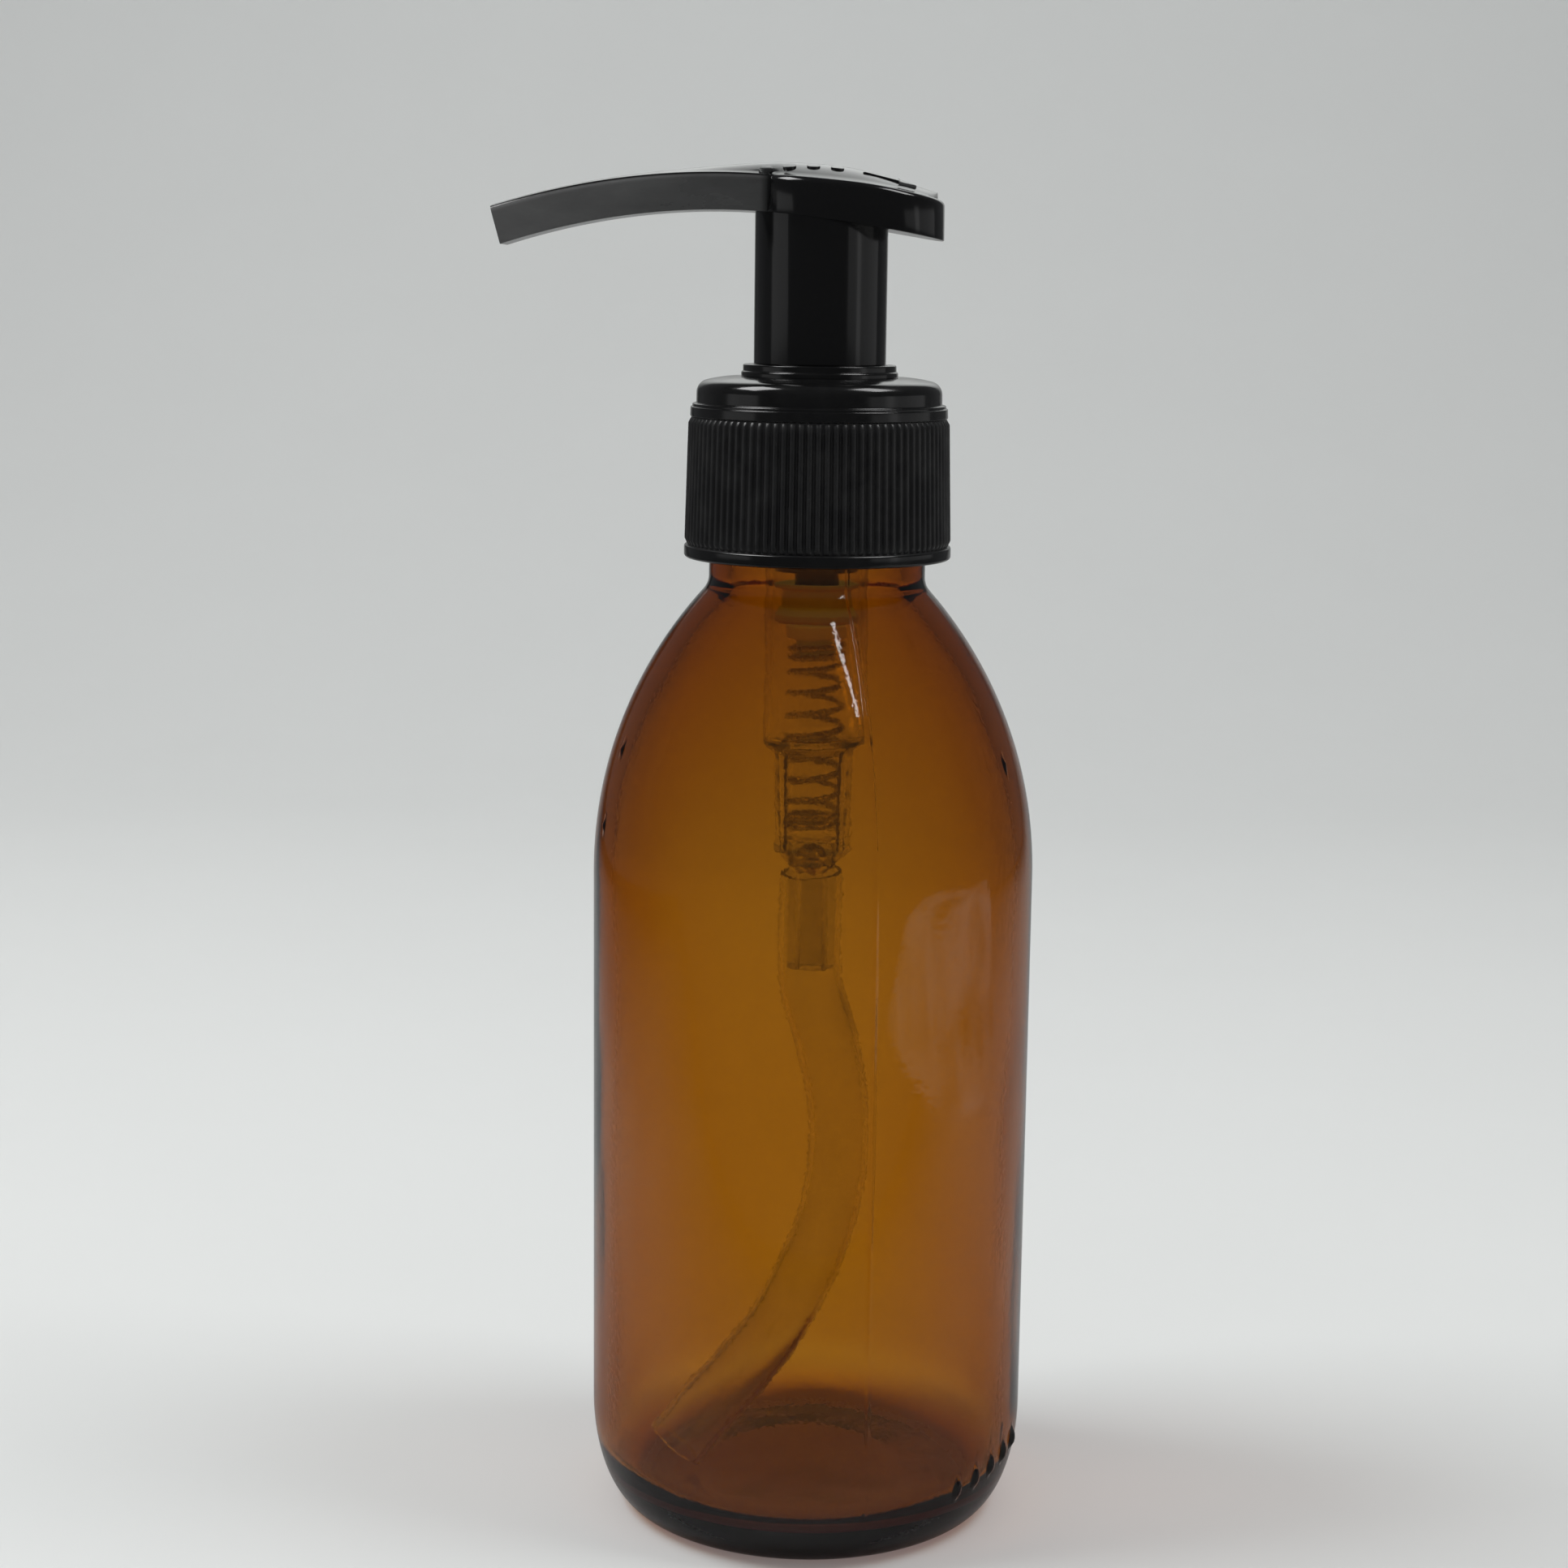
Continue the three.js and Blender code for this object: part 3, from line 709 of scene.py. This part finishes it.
def locking_collar():
    """The black collar: a lip ring over the closure, a flange in it and the well below."""
    top, bottom = collar_high[2], collar_low[2]
    flange = 132.8
    corners = [
        (WELL_R, top, 0.25), (8.85, top, 0.2), (8.85, top - 0.75, 0.1), (9.05, top - 0.85, 0.3),
        (9.05, top - 1.75, 0.1), (WELL_OUT, top - 1.75, 0.1), (WELL_OUT, flange + 1.2, 0.1),
        (13.2, flange + 1.2, 0.15), (13.2, flange, 0.15),
        (WELL_OUT, flange, 0.1), (WELL_OUT, WELL_FLOOR - 1, 0.3), (4.9, WELL_FLOOR - 1, 0.3),
        (4.9, bottom, 0.2), (3.3, bottom, 0.2), (3.3, WELL_FLOOR, 0.2),
        (WELL_R, WELL_FLOOR, 0.3),
    ]
    placed(turned("lock_collar", filleted(corners, closed=True), 128, GLOSS_BLACK),
           "pump", "black_plastic", "locking_collar")


def gasket():
    """The ring between the bottle's mouth and the housing's flange."""
    low, high = gasket_low[2], gasket_high[2]
    corners = [(10.2, low, 0.15), (13.2, low, 0.15), (13.2, high, 0.15), (10.2, high, 0.15)]
    placed(turned("neck_gasket", filleted(corners, closed=True, steps=3), 96, FOAM),
           "pump", "foam", "gasket")


def pump_housing():
    """The pump's cylinder: flange, cup, chamber, and the finned lower part with its nozzle."""
    top, bottom = housing_high[2], housing_low[2]
    cup_floor, step, ledge, nozzle = 119.7, 92.8, 82.0, 78.6
    corners = [
        (13.2, top, 0.15), (13.2, top - 1.2, 0.15), (9.6, top - 1.2, 0.2),
        (9.6, cup_floor - 0.8, 0.8), (6.0, cup_floor - 0.8, 0.5), (6.0, step, 0.5),
        (4.6, step - 0.8, 0.4), (4.6, nozzle + 1.6, 0.4), (2.8, nozzle, 0.5),
        (2.8, bottom, 0.25), (1.3, bottom, 0.1), (1.3, nozzle - 1, 0.1),
        (2.45, nozzle + 0.2, 0.3), (2.45, ledge - 0.4, 0.1), (1.8, ledge - 0.4, 0.1),
        (1.8, ledge, 0.1), (3.8, ledge, 0.1), (3.8, step + 0.8, 0.2),
        (5.2, step + 0.8, 0.3), (5.2, cup_floor, 0.3), (8.95, cup_floor, 0.5), (8.95, top, 0.2),
    ]
    body = turned("pump_barrel", filleted(corners, closed=True), 112, NATURAL)
    first_fin = 44
    for k in range(4):
        body = boolean(body, fin(math.radians(first_fin + 90 * k), step, nozzle), "UNION")
    smoothed(body, 35)
    placed(body, "pump", "natural_plastic", "pump_housing")


def fin(angle, step, nozzle):
    """A stiffening fin on the lower chamber, tapering towards the nozzle."""
    root_r, foot_r, wing_r, half = 4.3, 5.0, 5.85, 0.42
    corners = [(root_r, nozzle + 2), (foot_r, nozzle + 2), (wing_r, step - 1.5),
               (wing_r, step + 0.3), (root_r, step + 0.3)]
    verts = [(r, side * half, z) for side in (-1, 1) for r, z in corners]
    turn = Matrix.Rotation(angle, 3, "Z")
    verts = [tuple(turn @ Vector(v)) for v in verts]
    count = len(corners)
    faces = [tuple(range(count)), tuple(range(2 * count - 1, count - 1, -1))]
    faces += [(i, (i + 1) % count, count + (i + 1) % count, count + i) for i in range(count)]
    return oriented(verts, faces, "fin", NATURAL)


# ---- Dip tube, spring, ball -----------------------------------

TUBE_ROUTE = [
    (0, 0, 77.9), (0, 0, 64), (1.9, 0, 57), (3.5, 0, 46), (2.2, -0.5, 35), (-3.4, -1.8, 22.5),
    (-15.6, -4.6, 7.4),
]


def through(points, steps):
    """A smooth centripetal Catmull-Rom curve through points."""
    points = np.asarray(points, float)
    first = 2 * points[0] - points[1]
    last = 2 * points[-1] - points[-2]
    padded = np.vstack([first, points, last])
    curve = []

    def blend(t, u, i, reach, here, there):
        """The point at u between two others, by the knots i and i + reach."""
        span_t = t[i + reach] - t[i]
        return (t[i + reach] - u) / span_t * here + (u - t[i]) / span_t * there

    for k in range(1, len(padded) - 2):
        p = padded[k - 1:k + 3]
        t = np.concatenate([[0], np.cumsum(np.linalg.norm(np.diff(p, axis=0), axis=1) ** 0.5)])
        for u in np.linspace(t[1], t[2], steps, endpoint=False):
            a = [blend(t, u, i, 1, p[i], p[i + 1]) for i in range(3)]
            b = [blend(t, u, i, 2, a[i], a[i + 1]) for i in range(2)]
            curve.append(blend(t, u, 1, 1, b[0], b[1]))
    curve.append(points[-1])
    return np.array(curve)


def circle(radius, sides):
    """Section points of a round wire or tube."""
    angles = even_angles(sides)
    return np.column_stack([radius * np.cos(angles), radius * np.sin(angles)])


def dip_tube():
    """The suction tube, its upper end cut a little askew."""
    path = through(TUBE_ROUTE, 14)
    outer_r, inner_r, sides, askew = 3.8, 3.1, 40, 0.35
    outer = swept(path, circle(outer_r, sides))
    inner = swept(path, circle(inner_r, sides))
    count = len(path)
    slant_top = askew * np.cos(even_angles(sides) + 0.6)[:, None] * np.array([0, 0, 1.0])
    outer[0] += slant_top - np.array([0, 0, askew])
    inner[0] += slant_top - np.array([0, 0, askew])
    verts = np.vstack([outer.reshape(-1, 3), inner.reshape(-1, 3)])
    shift = count * sides
    faces = []
    for quad in ring_faces(count, sides):
        faces += [quad, tuple(shift + v for v in reversed(quad))]
    for i in range(sides):
        k = (i + 1) % sides
        faces.append((k, i, shift + i, shift + k))
        end = (count - 1) * sides
        faces.append((end + i, end + k, shift + end + k, shift + end + i))
    obj = make_object("suction_tube", verts, faces, NATURAL)
    placed(obj, "pump", "natural_plastic", "dip_tube")


def return_spring():
    """A round wire with closed coils at both ends."""
    low, high = spring_low[2], spring_high[2]
    wire, radius = 0.75, 3.5
    closed, opened, closed_pitch = 2, 7, 1.05
    coils = 2 * closed + opened
    turn = np.linspace(0, coils, coils * 40 + 1)
    open_pitch = (high - low - wire - 2 * closed * closed_pitch) / opened
    ends = np.minimum(turn, closed) + np.maximum(turn - closed - opened, 0)
    rise = ends * closed_pitch + np.clip(turn - closed, 0, opened) * open_pitch
    centre = radius - wire / 2
    path = np.column_stack([centre * np.cos(TAU * turn), centre * np.sin(TAU * turn),
                            low + wire / 2 + rise])
    obj = make_object("coil_spring", *skinned(swept(path, circle(wire / 2, 12))), STEEL)
    placed(obj, "pump", "steel", "return_spring")
    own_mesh(obj)


def inlet_ball():
    """The loose ball that closes the inlet."""
    radius = (ball_high[2] - ball_low[2]) / 2
    centre = (ball_high[2] + ball_low[2]) / 2
    outline = arc(0, centre, radius, radius, -math.pi / 2, math.pi / 2, 32)
    outline[0, 0] = outline[-1, 0] = 0
    placed(turned("check_ball", outline, 48, STEEL), "inlet_ball", "steel", "inlet_ball")


# ---- Plunger --------------------------------------------------

def piston_seat():
    """The plug in the stem's foot."""
    low, high = seat_low[2], seat_high[2]
    corners = [(0, low, 0), (2.3, low, 0.3), (2.3, low + 2.5, 0.1), (3.5, low + 2.5, 0.2),
               (3.5, low + 4, 0.2), (1.2, low + 4, 0.1), (1.2, high - 0.5, 0.2), (0, high, 0)]
    placed(turned("valve_seat", filleted(corners), 64, WHITE),
           "plunger", "natural_plastic", "piston_seat")


def stem():
    """The hollow stem, with a port cut across it just above the seat."""
    low, high = stem_low[2], stem_high[2]
    corners = [(1.5, low, 0.1), (2.6, low, 0.2), (2.6, 113.3, 0.1), (3.0, 113.3, 0.2),
               (3.0, high, 0.3), (1.5, high, 0.2)]
    obj = turned("hollow_stem", filleted(corners, closed=True, steps=4), 64, GLOSS_BLACK)
    port_z = low + 1.5
    verts = [(x, y, z) for x in (-4, 4) for y in (-0.5, 0.5) for z in (port_z - 0.8, port_z + 0.8)]
    faces = [(0, 1, 3, 2), (4, 6, 7, 5), (0, 4, 5, 1), (2, 3, 7, 6), (0, 2, 6, 4), (1, 5, 7, 3)]
    obj = boolean(obj, make_object("port", verts, faces, GLOSS_BLACK), "DIFFERENCE")
    obj.data.set_sharp_from_angle(angle=math.radians(35))
    placed(obj, "plunger", "black_plastic", "stem")


def piston():
    """The sliding seal, with a lip at each end."""
    low, high = piston_low[2], piston_high[2]
    corners = [(2.9, low, 0.1), (4.7, low, 0.1), (4.9, low + 0.3, 0.1), (4.9, low + 0.9, 0.2),
               (4.1, low + 1.7, 0.3), (4.1, high - 1.7, 0.3), (4.9, high - 0.8, 0.2),
               (4.9, high, 0.1), (4.5, high, 0.1), (3.5, high - 1.2, 0.1), (2.9, high - 1.2, 0.1)]
    placed(turned("sliding_piston", filleted(corners, closed=True, steps=4), 72, WHITE),
           "piston", "natural_plastic", "piston")


# ---- Actuator head --------------------------------------------

# Distances along X from the axis; the spout points to -X.
TIP_X, TIP_LEAN = -36.4, -1.1
TIP_HALF = 4.4
PAD_X, PAD_END = -6.0, 14.0
PAD_HALF, PAD_FULL, PAD_CENTRE = 9.3, 2.5, 3.4
CREST_X, CREST_Z = -11.5, 154.25
SPOUT_BEND, SPOUT_DRAFT, SPOUT_CROWN = 0.00656, 0.09, 0.25
PAD_SLOPE, PAD_BEND, PAD_DRAFT = 0.104, 0.0022, 0.05
PAD_CROWN, CROWN_X, CROWN_SPREAD = 1.53, 0.6, 12.3
SIDE_HEIGHT, SIDE_GAIN = 4.22, 0.43
EDGE_ROUND = 0.8


def half_width(x):
    """Half the head's width: a taper along the spout, then a rounded pad."""
    x = np.asarray(x, float)
    reach = np.clip(np.abs(x - PAD_CENTRE) / (PAD_END - PAD_CENTRE), 0, 1)
    pad = PAD_HALF * (1 - reach ** PAD_FULL) ** (1 / PAD_FULL)
    meet = (PAD_CENTRE - PAD_X) / (PAD_END - PAD_CENTRE)
    joint = PAD_HALF * (1 - meet ** PAD_FULL) ** (1 / PAD_FULL)
    share = np.clip((x - TIP_X) / (PAD_X - TIP_X), 0, 1)
    return np.where(x >= PAD_X, pad, TIP_HALF + (joint - TIP_HALF) * share)


def underside(x):
    """Height of the underside: an arch under the spout, then a slope under the pad."""
    along = np.maximum(np.asarray(x, float) - PAD_X, 0)
    arch = CREST_Z - SPOUT_BEND * (np.minimum(x, PAD_X) - CREST_X) ** 2
    return arch - PAD_SLOPE * along - PAD_BEND * along ** 2


def edge_height(x):
    """Height where the arched top begins."""
    share = np.clip((np.asarray(x, float) - PAD_X) / (PAD_END / 2 - PAD_X), 0, 1)
    return underside(x) + SIDE_HEIGHT + SIDE_GAIN * share ** 2 * (3 - 2 * share)


def top_surface(x, y):
    """Height of the arched top."""
    rise = SPOUT_CROWN + PAD_CROWN * np.exp(-(((x - CROWN_X) / CROWN_SPREAD) ** 2))
    inner = np.maximum(half_width(x) - EDGE_ROUND, 0.3)
    return edge_height(x) + rise * (1 - np.minimum(np.abs(y) / inner, 1) ** 2)


def head_plan():
    """The head seen from above: one side from tip to pad end, the other back, and the tip."""
    spout = np.linspace(TIP_X, PAD_X - 0.12, 60)
    swing = np.linspace(0, math.pi / 2, 73)
    pad = PAD_X + (PAD_END - PAD_X) * np.sin(swing)
    x = np.concatenate([spout, pad])
    w = half_width(x)
    right = np.column_stack([x, -w])
    left = np.column_stack([x, w])[::-1][1:]
    tip = np.column_stack([np.full(9, TIP_X), np.linspace(TIP_HALF, -TIP_HALF, 11)[1:-1]])
    plan = np.vstack([right, left, tip])
    around = np.roll(plan, -1, axis=0) - np.roll(plan, 1, axis=0)
    normal = np.column_stack([around[:, 1], -around[:, 0]])
    normal /= np.linalg.norm(normal, axis=1)[:, None]
    on_tip = plan[:, 0] < TIP_X + 1e-6
    normal[on_tip] = np.column_stack([np.zeros(on_tip.sum()), np.sign(plan[on_tip, 1])
                                      * (np.abs(plan[on_tip, 1]) > TIP_HALF - 1e-6)])
    return plan, normal, len(x)


def head_rings():
    """Rings up the side wall: the spout leans in towards its underside, the pad towards its
    top, and both are rounded into the arched top."""
    plan, normal, side = head_plan()
    on_spout = plan[:, 0] < PAD_X - 0.05
    low = underside(plan[:, 0])
    on_tip = plan[:, 0] < TIP_X + 1e-6
    top = np.where(on_tip, top_surface(plan[:, 0], plan[:, 1]), edge_height(plan[:, 0]))
    rings = []

    def ring(inset, rise):
        """Add the ring at a height, drawn in from the plan."""
        share = (rise - low) / (top - low)
        lean = np.where(on_spout, SPOUT_DRAFT * (1 - share), PAD_DRAFT * share)
        points = plan - normal * (inset + lean * half_width(plan[:, 0]))[:, None]
        taper = np.clip((PAD_X - plan[:, 0]) / (PAD_X - TIP_X), 0, 1)
        rings.append(np.column_stack([points[:, 0] + TIP_LEAN * share * taper, points[:, 1], rise]))

    for inset, lift in ((0.1, 0.0), (0.03, 0.03), (0.0, 0.1)):
        ring(inset, low + lift)
    for angle in np.linspace(0, math.pi / 2, 10)[:-1]:
        ring(EDGE_ROUND * (1 - math.cos(angle)), top - EDGE_ROUND * (1 - math.sin(angle)))
    ring(EDGE_ROUND * 0.99, top)
    return np.array(rings), side


def head_shell():
    """The spout and pad: stacked rings, closed by a flat underside and an arched top."""
    rings, side = head_rings()
    count, around = rings.shape[:2]
    verts = [rings.reshape(-1, 3)]
    faces = ring_faces(count, around)
    across = 17
    start = count * around
    for level, ring in ((0, rings[0]), (count - 1, rings[-1])):
        grid = {}
        for i in range(side - 1):
            mate = 2 * (side - 1) - i
            grid[i, 0] = level * around + i
            grid[i, across - 1] = level * around + mate
            a, b = ring[i], ring[mate]
            for c in range(1, across - 1):
                if i == 0:
                    continue
                point = a + (b - a) * c / (across - 1)
                if level:
                    here = 1 - (point[1] / a[1]) ** 2
                    point[2] = a[2] + here * (top_surface(a[0], 0.0) - edge_height(a[0]))
                grid[i, c] = start
                verts.append(point[None])
                start += 1
        tip_count = around - (2 * side - 1)
        tips = [level * around + 2 * side - 1 + k for k in range(tip_count)]
        tip_row = [level * around] + tips[::-1] + [level * around + 2 * (side - 1)]
        row = [grid[1, c] for c in range(across)]
        faces.append(tuple(tip_row + row[::-1]))
        for i in range(1, side - 2):
            for c in range(across - 1):
                faces.append((grid[i, c], grid[i, c + 1], grid[i + 1, c + 1], grid[i + 1, c]))
        end = level * around + side - 1
        last = [grid[side - 2, c] for c in range(across)]
        faces.append(tuple([end] + last[::-1]))
    return np.vstack(verts), faces


def channel():
    """The bore of the spout: a rounded slot that follows the spout to the hub."""
    t = np.linspace(0, 1, 60)[:, None]
    ends = np.array([[1, 0, 155.8], [-16, 0, 158.9], [-39, 0, 151.5]], float)
    path = (1 - t) ** 2 * ends[0] + 2 * t * (1 - t) * ends[1] + t ** 2 * ends[2]
    angles = even_angles(40)
    half_tall, half_wide = 1.25, 2.4
    section = np.column_stack([half_tall * np.sin(angles), half_wide * np.cos(angles)])
    return skinned(swept(path, section))


def raised_mark(plan):
    """A low raised mark on the crowned top, from its plan outline."""
    plan = np.asarray(plan, float)
    centre = plan.mean(axis=0)
    shrunk = centre + (plan - centre) * 0.93
    rings = []
    for outline, lift in ((plan, -0.35), (plan, 0.08), (shrunk, 0.13)):
        z = top_surface(outline[:, 0], outline[:, 1]) + lift
        rings.append(np.column_stack([outline, z]))
    return skinned(np.array(rings))


def capsule(cx, cy, half_length, radius, steps=8):
    """Plan outline of a bar across the pad, with round ends."""
    up = np.linspace(0, math.pi, steps)
    top = np.column_stack([cx + radius * np.cos(up), cy + half_length + radius * np.sin(up)])
    low = np.column_stack([cx - radius * np.cos(up), cy - half_length - radius * np.sin(up)])
    return np.vstack([top, low])


def actuator():
    """The head: shell, open spout, sleeve, hub, and generic marks in place of the real ones."""
    shell = oriented(*head_shell(), "pump_head", SHEEN_PAINTED_BLACK)
    root, hub_low, hub_r, hub_bore = 155.0, 145, 4.6, 3.3
    low = head_low[2]
    sleeve = filleted([(SLEEVE_BORE, low, 0.3), (SLEEVE_R, low, 0.35), (SLEEVE_R, root, 0),
                       (SLEEVE_BORE, root, 0)], closed=True)
    hub = filleted([(hub_bore, hub_low, 0.2), (hub_r, hub_low, 0.2), (hub_r, root, 0),
                    (hub_bore, root, 0)], closed=True)
    shell = boolean(shell, make_object("bore", *channel(), GLOSS_BLACK), "DIFFERENCE")
    shell = boolean(shell, turned("sleeve", sleeve, 144, GLOSS_BLACK), "UNION")
    shell = boolean(shell, turned("hub", hub, 64, GLOSS_BLACK), "UNION")
    row = -4.0
    arrow = [(10.6, row), (8.6, row + 1.3), (8.9, row + 0.45), (4.6, row + 0.45),
             (4.6, row - 0.45), (8.9, row - 0.45), (8.6, row - 1.3)]
    marks = [raised_mark(arrow)]
    first_grip, grip_pitch = -6.4, 2.7
    for k in range(4):
        marks.append(raised_mark(capsule(first_grip + grip_pitch * k, row, 0.35, 0.75)))
    shell = boolean(shell, oriented(*joined(*marks), "marks", GLOSS_BLACK), "UNION")
    smoothed(shell, 32)
    placed(shell, "head", "black_plastic", "actuator")


# ---- Stage: floor, lights and camera --------------------------

def paper():
    """The pale sheet behind and under the object."""
    m = Material("pale_paper")
    grain = m.noise(18, 3)
    m.drive("Base Color", m.ramp(grain, (0.78, 0.795, 0.785), (0.8, 0.815, 0.805)))
    m.keep("Roughness", 0.8)
    m.keep("Specular IOR Level", 0.2)
    return m.material


def patchy_reflection_paper():
    """A patchy sheet, light to dark grey, that only shiny surfaces see: painted reflection patches.
    """
    m = Material("patchy_reflection_paper")
    m.drive("Base Color",
            m.ramp(m.noise(9, 3, 0.6), (0.12, 0.12, 0.11), (0.75, 0.75, 0.72), 0.35, 0.62))
    m.keep("Roughness", 0.9)
    return m.material


def mirrored_paper():
    """Paper as the shiny surfaces see it, a painted reflection: it is painted dark towards the
    front and the sides, dim on the floor and bright high on the wall, where it glows though it is
    no lamp."""
    m = Material("mirrored_paper")
    place = m.node("ShaderNodeSeparateXYZ")
    m.link(m.position, place.inputs["Vector"])
    # Painted reflection: the colour fades to dark towards the front and the sides, and is dimmer
    # low down.
    forward = m.remap(place.outputs["Y"], -0.13, -0.03, 0, 1)
    right = m.remap(place.outputs["X"], 0.24, 0.42, 1, 0)
    left = m.remap(place.outputs["X"], -0.34, -0.16, 0, 1)
    shown = m.maths("MULTIPLY", forward, m.maths("MULTIPLY", left, right))
    height = m.remap(place.outputs["Z"], 0.02, 0.4, 0.42, 1)
    m.drive("Base Color",
            m.ramp(m.maths("MULTIPLY", shown, height), (0.02, 0.02, 0.02), (0.85, 0.86, 0.85)))
    m.keep("Roughness", 0.9)
    m.keep("Emission Color", (0.97, 1.0, 0.98, 1))
    # Painted light: emission makes the sheet glow high on the wall.
    m.drive("Emission Strength", m.remap(place.outputs["Z"], 0.22, 0.5, 0, 0.8))
    return m.material


def sweep(name, front, back, top, half_front, half_back, material):
    """A sheet that lies on the floor and sweeps up into a wall behind the object."""
    radius = 450
    curve = arc(back - radius, radius, radius, radius, -math.pi / 2, 0, 32)
    profile = np.vstack([[[front, 0]], curve, [[back, top]]])
    half = half_front + (half_back - half_front) * (profile[:, 0] - front) / (back - front)
    verts = [(side * w, y, z) for side in (-1, 1) for w, (y, z) in zip(half, profile)]
    count = len(profile)
    faces = [(i, i + 1, count + i + 1, count + i) for i in range(count - 1)]
    mesh = bpy.data.meshes.new(name)
    mesh.from_pydata((np.array(verts) * MM).tolist(), [], faces)
    mesh.shade_smooth()
    mesh.materials.append(material)
    obj = new_object(name, mesh)
    return obj


MIRRORED_LIFT = 0.0003  # metres: just clear of the wide sweep, which would shade it


def stage():
    """A wide pale sweep, and the smaller sheets that are all the shiny surfaces mirror."""
    wide = sweep("wide_sweep", front=-1600, back=900, top=1500, half_front=2600, half_back=2600,
                 material=paper())
    wide.visible_glossy = False
    # The side sheet is a painted reflection: dark and light patches that only glossy rays see.
    side = make_object("side_sheet", [(175, -215, 1), (500, -300, 1), (520, 90, 1), (205, 60, 1)],
                       [(0, 1, 2, 3)], patchy_reflection_paper())
    mirrored = sweep("mirrored_sheet", front=-130, back=898, top=1100, half_front=420,
                     half_back=420, material=mirrored_paper())
    mirrored.location.z = MIRRORED_LIFT
    for sheet in (side, mirrored):
        for kind in ("camera", "diffuse", "transmission", "shadow", "volume_scatter"):
            setattr(sheet, "visible_" + kind, False)


def area_light(name, place, target, width, height, radiance, seen=True):
    """A rectangular light of a given radiance, aimed at a target; places are in metres."""
    light = bpy.data.lights.new(name, "AREA")
    light.shape = "RECTANGLE"
    light.size, light.size_y = width, height
    light.energy = radiance * math.pi * width * height
    obj = new_object(name, light)
    obj.location = place
    direction = Vector(target) - Vector(place)
    obj.rotation_euler = direction.to_track_quat("-Z", "Y").to_euler()
    obj.visible_glossy = seen
    obj.visible_camera = False
    return obj


LAMP_TARGET = (0, 0, 0.12)
LAMPS = (  # name, place, width, height, radiance
    ("left_softbox", (-0.50, 0.0, 0.78), 0.38, 0.36, 8.9),
    ("right_softbox", (0.43, -0.07, 0.81), 0.28, 0.34, 7.2),
    ("left_card", (-0.68, -0.17, 0.14), 0.45, 0.16, 0.37),
    ("right_card", (0.62, -0.10, 0.14), 0.85, 0.16, 0.28),
    ("right_window", (0.57, -0.22, 0.15), 0.09, 0.18, 0.4),
)


def lights():
    """The world, two fills that nothing mirrors, and the lamps, which are returned."""
    world = bpy.data.worlds.new("studio")
    world.use_nodes = True
    background = world.node_tree.nodes["Background"]
    background.inputs["Color"].default_value = (0.95, 0.97, 1.0, 1)
    background.inputs["Strength"].default_value = 0.09
    bpy.context.scene.world = world
    area_light("wall_wash", (0.9, 0.15, 1.5), (0.6, 0.8, 0.3), 1.2, 0.5, 0.3, seen=False)
    even = area_light("even_fill", (0, -0.5, 1.4), (0, 0, 0), 1.6, 1.2, 1.1, seen=False)
    even.data.use_shadow = False
    return [area_light(name, place, LAMP_TARGET, width, height, radiance)
            for name, place, width, height, radiance in LAMPS]


def linked(lamps, obj, state):
    """Whether these lamps light this object: EXCLUDE keeps them off it, INCLUDE off the rest."""
    receivers = bpy.data.collections.new("receivers_" + state.lower())
    receivers.objects.link(obj)
    receivers.collection_objects[0].light_linking.link_state = state
    for lamp in lamps:
        lamp.light_linking.receiver_collection = receivers


def glare(glass):
    """The narrow speckled streak on the right of the shoulder."""
    strip = area_light("shoulder_strip", (0.245, -0.41, 0.75), (0, 0, 0.1), 0.022, 0.41, 9.0)
    linked([strip], glass, "INCLUDE")


# In metres and degrees; the lens is in millimetres on a sensor 36 mm wide.
CAMERA_DISTANCE, CAMERA_HEIGHT = 0.3281, 0.1457
CAMERA_PITCH, CAMERA_ROLL, CAMERA_YAW = map(math.radians, (10.0, 0.68, -0.62))
CAMERA_LENS = 64.66


def camera():
    """The camera of the photograph, solved from the object's ellipses."""
    pitch, yaw = CAMERA_PITCH, CAMERA_YAW
    ahead = Vector((math.sin(yaw) * math.cos(pitch), math.cos(yaw) * math.cos(pitch),
                    -math.sin(pitch)))
    level = Vector((math.cos(yaw), -math.sin(yaw), 0))
    above = level.cross(ahead)
    right = math.cos(CAMERA_ROLL) * level + math.sin(CAMERA_ROLL) * above
    up = -math.sin(CAMERA_ROLL) * level + math.cos(CAMERA_ROLL) * above
    turn = Matrix((right, up, -ahead)).transposed()
    data = bpy.data.cameras.new("camera")
    data.lens = CAMERA_LENS
    data.sensor_width = 36
    obj = new_object("camera", data)
    obj.matrix_world = Matrix.Translation((0, -CAMERA_DISTANCE, CAMERA_HEIGHT)) @ turn.to_4x4()
    bpy.context.scene.camera = obj


camera()
stage()
softboxes = lights()
bpy.context.scene.view_settings.view_transform = "Standard"

glass_bottle = bottle()
linked(softboxes, glass_bottle, "EXCLUDE")
glare(glass_bottle)
closure()
locking_collar()
gasket()
pump_housing()
dip_tube()
return_spring()
inlet_ball()
piston_seat()
stem()
piston()
actuator()
